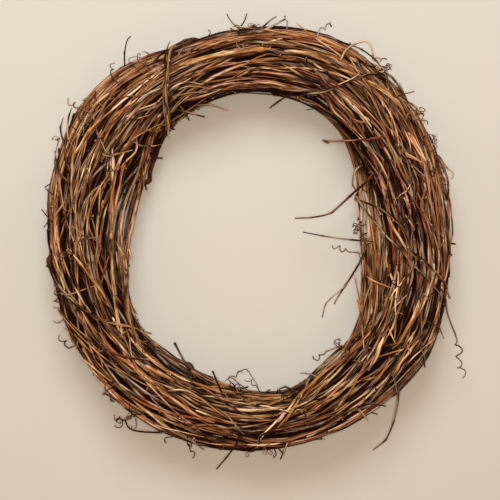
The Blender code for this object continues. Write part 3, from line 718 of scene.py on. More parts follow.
# The three noises' sum where bark ends and bared wood begins
BARED = {1: 1.54, 2: 1.76}
# The colour's factor for tone 0 and 1, and for the slow changes
OWN_TONE = {3: 0.50, 4: 1.28}
PATCHES = {1: 0.3, 2: 0.7, 3: 0.75, 4: 1.2}
# Bared wood is smoother than bark by this much, where the sum of noises is between these
ROUGHNESS = 0.78
SMOOTHER = 0.22
POLISHED = {1: 1.3, 2: 1.8}
RELIEF = {"Strength": 0.7, "Distance": 0.0005}
# Dry cell walls have an index of 1.45, but the open fibres of bark hardly shine
IOR = 1.45
SPECULAR = 0.12
# Splits and outer bark, the bark itself, and the bared wood that catches the light
BARKS = {
    "cinnamon_vine": ("2a0c03", "9a5f34", "cfa682"),
    "golden_vine": ("331405", "a6713c", "d6b48e"),
    "umber_vine": ("1c0802", "684028", "9c7860"),
    "grey_vine": ("26140a", "7a5c44", "b09a86"),
    "russet_vine": ("2a0a03", "8e4b2a", "bc8a6a"),
}
BARE_WOOD = "c9a87a"
# The near-black colour of painted shade in gaps, inside the bundle and in hollows
PAINTED_SHADE_BARK = "240800"


def linear(code):
    """An sRGB hex colour as linear light."""
    shades = [int(code[place:place + 2], 16) / 255 for place in (0, 2, 4)]
    return [s / 12.92 if s <= 0.04045 else ((s + 0.055) / 1.055) ** 2.4 for s in shades] + [1.0]


def add(tree, kind, inputs=None, **settings):
    """Adds a node with its settings. An input is a value, or a socket or a node to link from."""
    node = tree.nodes.new(kind)
    for key, value in settings.items():
        setattr(node, key, value)
    for key, value in (inputs or {}).items():
        if isinstance(value, bpy.types.Node):
            value = value.outputs[0]
        if isinstance(value, bpy.types.NodeSocket):
            tree.links.new(value, node.inputs[key])
        else:
            node.inputs[key].default_value = value
    return node


def bark(name):
    """Dry vine bark: dark splits, streaks of bared wood, and a tone of its own for each cane."""
    dark, plain, bright = (linear(code) for code in BARKS[name])
    made = bpy.data.materials.new("dry_bark_" + name)
    made.use_nodes = True
    tree = made.node_tree
    grain = add(tree, "ShaderNodeAttribute", attribute_name="grain").outputs["Vector"]
    strand = add(tree, "ShaderNodeAttribute", attribute_name="strand").outputs["Vector"]
    tone, bare, painted_light_and_weather = add(tree, "ShaderNodeSeparateXYZ", {0: strand}).outputs
    streaks = []
    for scale, detail in ((FIBRE, 3.0), (STRIPS, 2.0), (SLOW, 1.0)):
        spot = add(tree, "ShaderNodeVectorMath", {0: grain, 1: scale}, operation="MULTIPLY")
        streaks.append(add(tree, "ShaderNodeTexNoise", {"Vector": spot, "Scale": 1.0, "Detail": detail}))
    fibre, strips, slow = streaks
    whole = add(tree, "ShaderNodeMath", {0: tone, 1: SMOOTH, 2: fibre}, operation="MULTIPLY_ADD")
    split = add(tree, "ShaderNodeMapRange", {0: whole} | SPLIT)
    colour = add(tree, "ShaderNodeMix", {0: split, 6: dark, 7: plain}, data_type="RGBA")
    lit = add(tree, "ShaderNodeMath", {0: strips, 1: slow}, operation="ADD")
    lit = add(tree, "ShaderNodeMath", {0: lit, 1: fibre}, operation="ADD")
    bared = add(tree, "ShaderNodeMapRange", {0: lit} | BARED)
    colour = add(tree, "ShaderNodeMix", {0: bared, 6: colour.outputs[2], 7: bright}, data_type="RGBA")
    own = add(tree, "ShaderNodeMapRange", {0: tone} | OWN_TONE)
    patch = add(tree, "ShaderNodeMapRange", {0: slow} | PATCHES)
    shade = add(tree, "ShaderNodeMath", {0: own, 1: patch}, operation="MULTIPLY")
    shade = add(tree, "ShaderNodeCombineColor", {0: shade, 1: shade, 2: shade})
    toned = {0: 1.0, 6: colour.outputs[2], 7: shade}
    colour = add(tree, "ShaderNodeMix", toned, data_type="RGBA", blend_type="MULTIPLY")
    # Painted shade: the bark goes to the dark colour where the painted light value is low
    painted_shade_mix = {0: painted_light_and_weather, 6: linear(PAINTED_SHADE_BARK), 7: colour.outputs[2]}
    colour = add(tree, "ShaderNodeMix", painted_shade_mix, data_type="RGBA")
    cut = {0: bare, 6: colour.outputs[2], 7: linear(BARE_WOOD)}
    colour = add(tree, "ShaderNodeMix", cut, data_type="RGBA")
    relief = add(tree, "ShaderNodeMath", {0: fibre, 1: strips}, operation="ADD")
    bump = add(tree, "ShaderNodeBump", {"Height": relief} | RELIEF)
    limits = {3: ROUGHNESS, 4: ROUGHNESS - SMOOTHER}
    matt = add(tree, "ShaderNodeMapRange", {0: lit} | POLISHED | limits)
    surface = tree.nodes["Principled BSDF"]
    tree.links.new(colour.outputs[2], surface.inputs["Base Color"])
    tree.links.new(bump.outputs[0], surface.inputs["Normal"])
    tree.links.new(matt.outputs[0], surface.inputs["Roughness"])
    surface.inputs["IOR"].default_value = IOR
    surface.inputs["Specular IOR Level"].default_value = SPECULAR
    return made


finish = {name: bark(name) for name in BARKS}
print("bark:", ", ".join(finish))

# %% [markdown]
# ## The lines of all the canes
#
# The twenty-two main canes stand for their CAD nodes, one for one. The two binding canes are what
# holds the bundle together. They come last in the making and lie outermost, pulled tight, so the
# thin canes underneath give way to them.

# %% Lines of the main, binding and thin canes
# From point to point of each kind of line
CANE_STEP = 4.0
THIN_STEP = 6.5
BINDER_STEP = 2.5
# The gap under a binding cane, and over what length a cane gives way to it
UNDER_BINDER = 0.4
GIVE = 28.0
GIVE_MORE = 1.6
main_lines = {
    name: with_buds(*ring_line(cane_lines[name], STATIONS, CANE_STEP), "main") for name in CANES
}


def bound_line(name):
    """A binding cane's line through its CAD rings, a point every 2.5 mm."""
    middle, thick = binder_lines[name]
    spots = np.linspace(0, len(middle) - 1, int(lengths(middle)[-1] / BINDER_STEP))
    fine = through(np.column_stack([middle, thick]), spots)
    return with_buds(fine[:, :3], fine[:, 3], "binding")


def bent(points, lack):
    """How far a cane moves to make up what it lacks in places: by that much there, and on both
    sides by less and less, as the largest of lack * exp(-(distance along it / 28 mm)^2)."""
    length = lengths(points)
    bell = np.exp(-(((length[:, None] - length) / GIVE) ** 2))
    return (bell * lack).max(axis=1)[:, None]


def under(points, thick, tied):
    """Moves a line in under the binding canes, towards the bundle's middle."""
    gap = np.linalg.norm(points[:, None] - tied[None, :, :3], axis=2) - tied[None, :, 3]
    lack = np.maximum(thick + UNDER_BINDER - gap.min(axis=1), 0)
    give = GIVE_MORE * bent(points, lack)
    return points + give * unit(bundle_heart(points)[0] - points), thick


main_lines |= {name: bound_line(name) for name in BINDERS}
tied = np.concatenate([np.column_stack(main_lines[name]) for name in BINDERS])
fine_lines = [
    under(*with_buds(*ring_line(line, FINE_STATIONS, THIN_STEP), "thin"), tied) for line in thin_lines
]
strands = [*main_lines.values(), *fine_lines]
print("metres of cane:", round(sum(lengths(points)[-1] for points, _ in strands) * MM))

# %% [markdown]
# ## What lies on top
#
# Side shoots, tendrils and twigs lie on whatever is under them. To know what is, all the canes are
# stamped into a height map: a grid over the floor that holds the top of the pile at each place. A
# strand that is laid across it rests on the highest places and is taut between them.

# %% A height map of the pile
CELL = 1.5
MAP_HALF = 300.0
NOTHING = -1e6
# The steepest that a strand lies, and the highest that its top comes
SLOPE = 0.30
CEILING = 75.5
# A strand rests on what is under its middle, or under a ring at this share of its half thickness
SHOULDER = 0.7
cells = int(2 * MAP_HALF / CELL) + 1
top = np.full((cells, cells), NOTHING)


def cell_of(points):
    """The map's cell, row and column, that each point is in."""
    return np.clip(np.round((points[..., :2] + MAP_HALF) / CELL).astype(int), 0, cells - 1)


def stamp(points, thick):
    """Raises the map to a strand's own top: height + sqrt(thickness^2 - distance^2)."""
    line, radius = respaced(points, thick, CELL)
    middle = np.round((line[:, :2] + MAP_HALF) / CELL).astype(int)
    reach = int(np.ceil(radius.max() / CELL))
    for shift in np.ndindex(2 * reach + 1, 2 * reach + 1):
        cell = np.clip(middle + np.array(shift) - reach, 0, cells - 1)
        away = ((cell * CELL - MAP_HALF - line[:, :2]) ** 2).sum(axis=1)
        hit = away < radius ** 2
        height = line[hit, 2] + np.sqrt(radius[hit] ** 2 - away[hit])
        np.maximum.at(top, (cell[hit, 0], cell[hit, 1]), height)


def pile_top(spots, radius):
    """How high a strand of this radius has to be to lie on the pile at each spot, or NOTHING."""
    angle = TURN * np.arange(8) / 8
    ring = SHOULDER * radius[..., None, None] * np.stack([np.cos(angle), np.sin(angle)], axis=-1)
    cell = cell_of(np.concatenate([spots[..., None, :], spots[..., None, :] + ring], axis=-2))
    high = top[cell[..., 0], cell[..., 1]]
    return np.maximum(high[..., 0] + radius, high[..., 1:].max(axis=-1) + SHOULDER * radius)


def laid(spots, radius, step):
    """Heights of a strand that is laid on the pile: nowhere lower than the pile, nowhere steeper
    than the slope, and level where there is nothing under it."""
    high = pile_top(spots, radius)
    known = np.flatnonzero(high > 0)
    if len(known) == 0:
        return np.full(len(spots), np.nan)
    high = np.interp(np.arange(len(spots)), known, high[known])
    ramp = SLOPE * step * np.arange(len(spots))
    forth = np.maximum.accumulate(high + ramp) - ramp
    back = (np.maximum.accumulate((high - ramp)[::-1]) + ramp[::-1])[::-1]
    return np.minimum(np.maximum(forth, back), CEILING - radius)


for line in strands:
    stamp(*line)
print("pile's top:", round(top.max(), 1), "mm, over", int((top > 0).sum() * CELL ** 2 / 100), "cm2")

# %% [markdown]
# ### Long canes over the front
#
# The layer that one sees is made of long canes, as thick as a pencil or thinner, that run with the
# ring and slowly change sides. Each is planned flat: it goes round the ring while it drifts across
# the band. Of a few plans the one that would lie lowest is taken, as it would slide into a valley,
# and the cane is laid there, pressed into the pile a little, and tucked under the binding canes.

# %% Laying a strand
# How far a strand is pressed into the pile, and how far its root goes in: 2 mm + 1.3 half thicknesses
SINK = 0.7
ROOT_DEPTH = 2.0
ROOT_DEEPER = 1.3
GOLD, CINNAMON, RUSSET, UMBER, GREY = (
    "golden_vine", "cinnamon_vine", "russet_vine", "umber_vine", "grey_vine"
)
loose = {name: [] for name in BARKS}
front_ties = tied[tied[:, 2] > FRONT_HALF]


def laid_line(spots, thick, rise, step):
    """A strand laid on the pile: its root is pushed down into it, and its tip stands up or, with no
    rise, is pushed in too. height = pile - sink + rise * share^2 - depth * (1 - share)^8."""
    share = np.linspace(0, 1, len(spots))
    pushed = (1 - share) ** 8 + (rise == 0) * share ** 8
    depth = ROOT_DEPTH + ROOT_DEEPER * thick
    height = laid(spots, thick, step) - SINK + rise * share ** 2 - depth * pushed
    return rounded(np.column_stack([spots, height]), 2)


def onto_pile(spots):
    """Moves points that have nothing under them towards the middle of the band until they have."""
    theta, _ = polar(spots)
    target = on_ring(theta, band(theta)[0][:, 0])
    share = np.linspace(0, 1, 40)
    tries = spots[:, None] + share[:, None] * (target - spots)[:, None]
    found = pile_top(tries, np.full(tries.shape[:2], 0.5)) > 0
    return tries[np.arange(len(spots)), np.argmax(found, axis=1)]


def tucked(points, thick):
    """Lowers a laid strand to pass under the binding canes."""
    flat = np.linalg.norm(points[:, None, :2] - front_ties[None, :, :2], axis=2)
    over = points[:, None, 2] + thick[:, None] + UNDER_BINDER - (front_ties[:, 2] - front_ties[:, 3])
    lack = np.where(flat < thick[:, None] + front_ties[:, 3], over, 0).max(axis=1).clip(0)
    return points - [0, 0, 1] * bent(points, lack)


print("points of the binding canes on the front:", len(front_ties))

# %% Long canes over the front
LONG_CANES = 130
LONG_STEP = 5.0
# Least and most length, the first and the last one's half thickness at the root, and the tip's share
LONG_LENGTH = (260, 1000)
LONG_ROOT = (2.3, 0.6)
TAPER = 0.7
# The slant is -1.3 at the band's inner edge and 1.3 at its outer. It drifts and waves this much.
EDGE = 1.3
DRIFT = 0.0014
WAVER = 0.05
WAVER_EVERY = (220, 480)
TO_EDGE = 0.94
# Of so many plans the lowest is taken, if it has more than this many points
PLANS = 5
LEAST_POINTS = 16
LONG_TONE = (0.25, 1.1)
# How often each bark comes, in the order of BARKS
LONG_SHARE = (0.34, 0.26, 0.12, 0.05, 0.23)
# Kept clear of a binding cane at the inner side: past 0.6 half widths from the band's middle and 20 mm
# up. Over some 0.1 radians to either side of it, strands may come to lie up to 20 mm further in.
INNER_SIDE = 0.6
ABOVE_FLOOR = 20.0
CLEAR_OF_BINDER = 2.0
GIVES_WAY = 20.0
SLOWLY = 0.10


def inside_binders(theta):
    """The least reach at which a strand does not hide a binding cane on the ring's inner side:
    the largest of its reach + half thickness + 2 mm - 20 mm * (1 - exp(-(angle from it / 0.1)^2))."""
    its_theta, its_reach = polar(tied)
    middle, half = band(its_theta)
    inner = (its_reach < middle[:, 0] - INNER_SIDE * half[:, 0]) & (tied[:, 2] > ABOVE_FLOOR)
    need = its_reach[inner] + tied[inner, 3] + CLEAR_OF_BINDER
    turned = np.angle(np.exp(1j * (theta[:, None] - its_theta[inner])))
    return (need - GIVES_WAY * (1 - np.exp(-((turned / SLOWLY) ** 2)))).max(axis=1)


def long_route():
    """A long cane's plan: angle = start + distance / ring radius, and reach = middle of the band +
    half its width * sin(slant), where the slant drifts evenly and waves slowly."""
    along = np.arange(0, rng.uniform(*LONG_LENGTH), LONG_STEP)
    theta = rng.uniform(0, TURN) + rng.choice([-1, 1]) * along / RING_RADIUS
    slant = rng.uniform(-EDGE, EDGE) + rng.normal(0, DRIFT) * along
    slant += WAVER * np.sin(TURN * (along / rng.uniform(*WAVER_EVERY) + rng.uniform()))
    middle, half = band(theta)
    reach = np.maximum(middle[:, 0] + TO_EDGE * half[:, 0] * np.sin(slant), inside_binders(theta))
    spots = on_ring(theta, reach)
    out = (np.abs(slant) > EDGE + 0.1) | (hollowness(spots) > BARE_HOLLOW)
    return spots[:np.argmax(out)] if out.any() else spots


def any_bark(shares):
    """One of the barks, drawn with these shares."""
    return str(rng.choice(tuple(BARKS), p=shares))


for root in np.geomspace(*LONG_ROOT, LONG_CANES):
    plans = [spots for spots in (long_route() for _ in range(PLANS)) if len(spots) > LEAST_POINTS]
    if not plans:
        continue
    lying = [laid(spots, np.full(len(spots), root), LONG_STEP).mean() for spots in plans]
    spots = plans[int(np.argmin(lying))]
    thick = np.linspace(root, TAPER * root, len(spots))
    points, thick = with_buds(laid_line(spots, thick, 0, LONG_STEP), thick, "long")
    points = tucked(points, thick)
    loose[any_bark(LONG_SHARE)].append((points, thick, rng.uniform(*LONG_TONE)))
    stamp(points, thick)
long_lengths = [lengths(points)[-1] for lines in loose.values() for points, *_ in lines]
print("long canes:", len(long_lengths), "with", round(sum(long_lengths) * MM), "metres")

# %% [markdown]
# ## Side shoots and tendrils
#
# At its buds a vine sends out side shoots, and opposite them tendrils, thin as wire, that curl up
# when they find nothing to hold. The ones that give the wreath its outline are in the CAD, fused
# to their canes. The same routes are drawn here again with far more points, at the height where
# the CAD has them or on top of the thin canes. Each stays part of the cane that it grows from.

# %% The side shoots' routes
# From point to point of a route: on the solids, and here
SHOOT_STEP = 11.0
FINE_STEP = 2.2
# Half thickness at root and tip, how far the tip stands up, and the route from root to tip, as x and
# y in pixels of the photograph. A curl may follow: its far end, half its width in pixels, its turns.
TOP_SHOOTS = (
    (1.1, 0.6, 4, 127,79, 125,62, 126,40, 132,38),
    (0.8, 0.5, 3, 121,87, 112,76, (114, 67, 2.6, 1.5)),
    (1.4, 0.9, 3, 176,62, 182,52, 190,45),
    (1.3, 0.8, 2, 152,66, 160,60, 168,53),
    (1.2, 0.6, 4, 240,42, 238,33, 245,26, 247,17),
    (0.75, 0.5, 4, 239,33, 232,28, 228,22, 227,17),
    (1.4, 0.8, 5, 247,38, 262,31, 270,22, 276,19),
    (1.5, 1, 5, 258,40, 268,32, 284,22),
    (0.8, 0.5, 3, 286,36, 287,24, (284, 19, 2, 1)),
    (0.9, 0.5, 4, 316,42, 318,33, (330, 27, 3, 2)),
    (1.3, 0.6, 6, 340,62, 345,52, 356,45, 367,43, 371,52, 373,60, (385, 62, 2.4, 1.5)),
    (0.7, 0.5, 6, 373,60, 379,68, 385,76, (388, 70, 2, 1)),
    (1, 0.6, 3, 392,99, 402,95, 413,93),
    (0.9, 0.5, 4, 404,118, 411,110, (424, 124, 3.2, 2.5)),
    (1.1, 0.6, 5, 432,162, 437,153, 447,169, 458,173, 450,179),
    (0.8, 0.5, 4, 436,172, 442,178, (444, 188, 3, 1.5)),
)
BOTTOM_SHOOTS = (
    (1.1, 0.5, 6, 436,284, 443,296, 446,312, 451,325, 455,334, (461, 375, 4, 3.5)),
    (1.5, 1, 4, 418,340, 422,350, 423,366),
    (1.7, 0.7, 6, 391,366, 394,382, 397,398, 395,412, 387,434, 372,448),
    (1.2, 0.7, 3, 356,404, 368,402, 384,404),
    (1, 0.6, 3, 350,404, 360,408, 366,418),
    (1.2, 0.8, 2, 288,434, 284,446, 280,457),
    (1.8, 0.7, 5, 150,386, 168,391, 187,391, 212,402, 228,414, 240,427, 239,441, 226,455, 217,467),
    (0.9, 0.5, 3, 188,432, 188,442, (194, 453, 2.4, 1.5)),
    (1.3, 0.6, 3, 170,430, 156,431, 140,430, 130,427, 126,418, (118, 416, 3.2, 1.5)),
    (0.9, 0.5, 4, 146,412, 133,413, (120, 424, 3, 1.5)),
    (1.3, 0.8, 2, 120,380, 111,387, 104,393),
    (0.9, 0.5, 3, 78,344, 69,348, (62, 336, 3, 1.5)),
)
LEFT_SHOOTS = (
    (1, 0.6, 3, 70,296, 57,285, (60, 302, 2.6, 2)),
    (1, 0.6, 4, 60,226, 52,219, 44,210),
    (1, 0.7, 3, 62,200, 54,194, 48,190),
    (1.5, 1, 3, 66,214, 62,190, 61,168, 60,149),
    (1.6, 1.1, 3, 72,176, 66,160, 66,146, 70,130, 74,114),
    (1, 0.6, 4, 93,114, 78,109, (68, 100, 3, 2)),
)
INSIDE_SHOOTS = (
    (1.2, 0.8, 3, 186,110, 200,106, 213,106, 228,110),
    (1.1, 0.8, 2, 176,110, 190,113, 205,118),
    (1, 0.7, 1, 180,106, 186,114, 190,122),
    (1.1, 0.7, 3, 296,92, 284,99, 270,109),
    (1.4, 1.1, 5, 384,138, 372,140, 350,142, 325,143),
    (1.3, 0.8, 3, 362,164, 353,166, 350,175, 352,184, 358,192),
    (1.6, 0.8, 7, 374,172, 366,182, 354,193, 342,204, 327,215, 312,218, 295,218),
    (1.2, 0.6, 6, 372,243, 357,240, 340,239, 322,236, 303,232),
    (0.9, 0.5, 6, 366,254, 352,252, (334, 247, 3, 2.5)),
    (1.5, 0.8, 6, 366,252, 359,264, 352,276, 345,286, 338,296, 334,304),
    (0.85, 0.5, 6, 345,286, 335,294, 326,302, 322,317),
    (0.9, 0.5, 5, 342,346, 326,352, (314, 360, 3.4, 2)),
    (1.2, 0.8, 3, 272,386, 286,384, 298,392),
    (1, 0.6, 3, 320,378, 312,373, 300,372),
    (1.5, 1.2, 4, 196,378, 188,368, 181,356, 175,343),
    (1.3, 1, 3, 226,398, 219,384, 213,370),
    (0.7, 0.4, 4, 240,396, 236,386, 228,378, (240, 372, 4, 1.5)),
    (0.7, 0.4, 4, 262,394, 256,384, (246, 378, 3.4, 1.5)),
)
FRONT_SHOOTS = (
    (1.2, 0.7, 3, 72,244, 84,240, 98,238),
    (1, 0.6, 4, 96,150, 106,158, 124,152),
    (1, 0.6, 4, 414,196, 402,206, 396,200),
    (1.1, 0.7, 4, 404,340, 386,344, 366,350),
    (1, 0.5, 5, 300,62, 312,70, (330, 78, 3, 2)),
    (0.9, 0.5, 5, 84,262, 88,272, (98, 262, 4, 2)),
)
SHOOTS = TOP_SHOOTS + BOTTOM_SHOOTS + LEFT_SHOOTS + INSIDE_SHOOTS + FRONT_SHOOTS
print("side shoots:", len(SHOOTS))

# %% Which cane a side shoot grows from
# A corner of the solid is the shoot's own within 1.25 half thicknesses and 0.15 mm of its line
NEAR_LINE = (1.25, 0.15)
cad_corners = {name: welded(name)[0] for name in CANES}


def smooth_route(route):
    """Points every 2.2 mm on a smooth curve through the route's pixels, in millimetres."""
    corners = to_front(np.reshape(route, (-1, 2)))
    line = through(corners, np.arange(12 * (len(corners) - 1) + 1) / 12)
    return respaced(line, np.zeros(len(line)), FINE_STEP)[0]


def owner_of(path, thick):
    """The CAD node that a shoot is fused to, and its height there: the node that has corners all
    round the most of its points, and the mean height of those corners."""
    best = (0, None, None)
    for name, corners in cad_corners.items():
        away = np.linalg.norm(corners[None, :, :2] - path[:, None], axis=2)
        near = away < NEAR_LINE[0] * thick + NEAR_LINE[1]
        high = np.where(near, corners[:, 2], NOTHING).max(axis=1)
        near &= corners[:, 2] > high[:, None] - 3 * thick
        hits = near.sum(axis=1)
        good = hits >= 3
        if good.sum() > best[0]:
            height = np.where(near, corners[:, 2], 0).sum(axis=1)[good] / hits[good]
            best = (good.sum(), name, np.interp(np.arange(len(path)), np.flatnonzero(good), height))
    return best[1:]


print("corners to look among:", sum(len(corners) for corners in cad_corners.values()))

# %% Side shoots on their canes
# Points in a turn of a coil, and how far it swings to and fro along its own way, and up, for its width
CURL_POINTS = 16
LOOP = 0.45
LOOP_UP = 0.8
# The share of the tip's rise that is taken, and from point to point where there is no coil
TIP_RISE = 0.4
STRAIGHT_STEP = 3.0


def curl_line(start, x, y, size, turns):
    """A tendril's coil: an even advance plus loops that turn about it.

    angle = turns + 0.9 * a slow wave, and the loops' size = size * (0.75 + 0.35 * the same wave),
    reached over the first third of the way."""
    end = np.append(to_front((x, y)), start[2])
    ahead = unit(end - start)
    aside = np.array([-ahead[1], ahead[0], 0.0])
    share = np.linspace(0, 1, int(turns * CURL_POINTS) + 1)[1:, None]
    uneven = np.sin(TURN * (turns * share * rng.uniform(0.5, 0.8) + rng.uniform()))
    turned = TURN * turns * share + 0.9 * uneven
    grow = size * PIXEL * np.minimum(1, 3 * share) * (0.75 + 0.35 * uneven)
    round_it = aside * np.sin(turned) + (LOOP * ahead + [0, 0, LOOP_UP]) * (1 - np.cos(turned))
    return start + share * (end - start) + grow * round_it


def shoot_line(thick, thin, rise, *route):
    """A side shoot's line and thickness, and the cane that it grows from."""
    *route, curl = route if isinstance(route[-1], tuple) else (*route, None)
    spots = smooth_route(route)
    stride = int(round(SHOOT_STEP / FINE_STEP))
    count = max(2, int(math.ceil((len(spots) - 1) / stride)) + 1)
    picked = np.unique(np.linspace(0, len(spots) - 1, count).round().astype(int))
    owner, height = owner_of(spots[picked], thick)
    level = laid(spots, np.full(len(spots), thick), FINE_STEP)
    level = np.fmax(level, np.interp(np.arange(len(spots)), picked, height))
    share = np.linspace(0, 1, len(spots))
    points = np.column_stack([spots, level + TIP_RISE * rise * share ** 2])
    carriers = np.concatenate(grown[owner])
    root = carriers[np.argmin(np.linalg.norm(carriers - points[0], axis=1))]
    points = rounded(np.vstack([root, (root + points[0]) / 2, points]), 3)
    if curl:
        points = np.vstack([points, curl_line(points[-1], *curl)])
    share = lengths(points) / lengths(points)[-1]
    thick = thick + (thin - thick) * share
    if not curl:
        points, thick = with_buds(*respaced(points, thick, STRAIGHT_STEP), "shoot")
    return owner, points, thick


grown = {name: [main_lines[name][0]] for name in CANES}
shoot_lines = []
for shoot in SHOOTS:
    shoot_lines.append(shoot_line(*shoot))
    grown[shoot_lines[-1][0]].append(shoot_lines[-1][1])
    stamp(*shoot_lines[-1][1:])
print("canes with side shoots:", len({owner for owner, *_ in shoot_lines}))

# %% [markdown]
# ## Twigs across the front
#
# What makes a wreath look wild is its last layer: short side twigs that stick out of the winding
# and cross the canes at all angles. They are as straight as a pencil line between two buds. The
# ones that stand out in the photograph are placed by its pixels. The rest are strewn by a seeded
# rule: each sets off along the ring, turned a little aside, and bends with it only in part. Here
# and there a cane has a swollen joint, where it once forked.

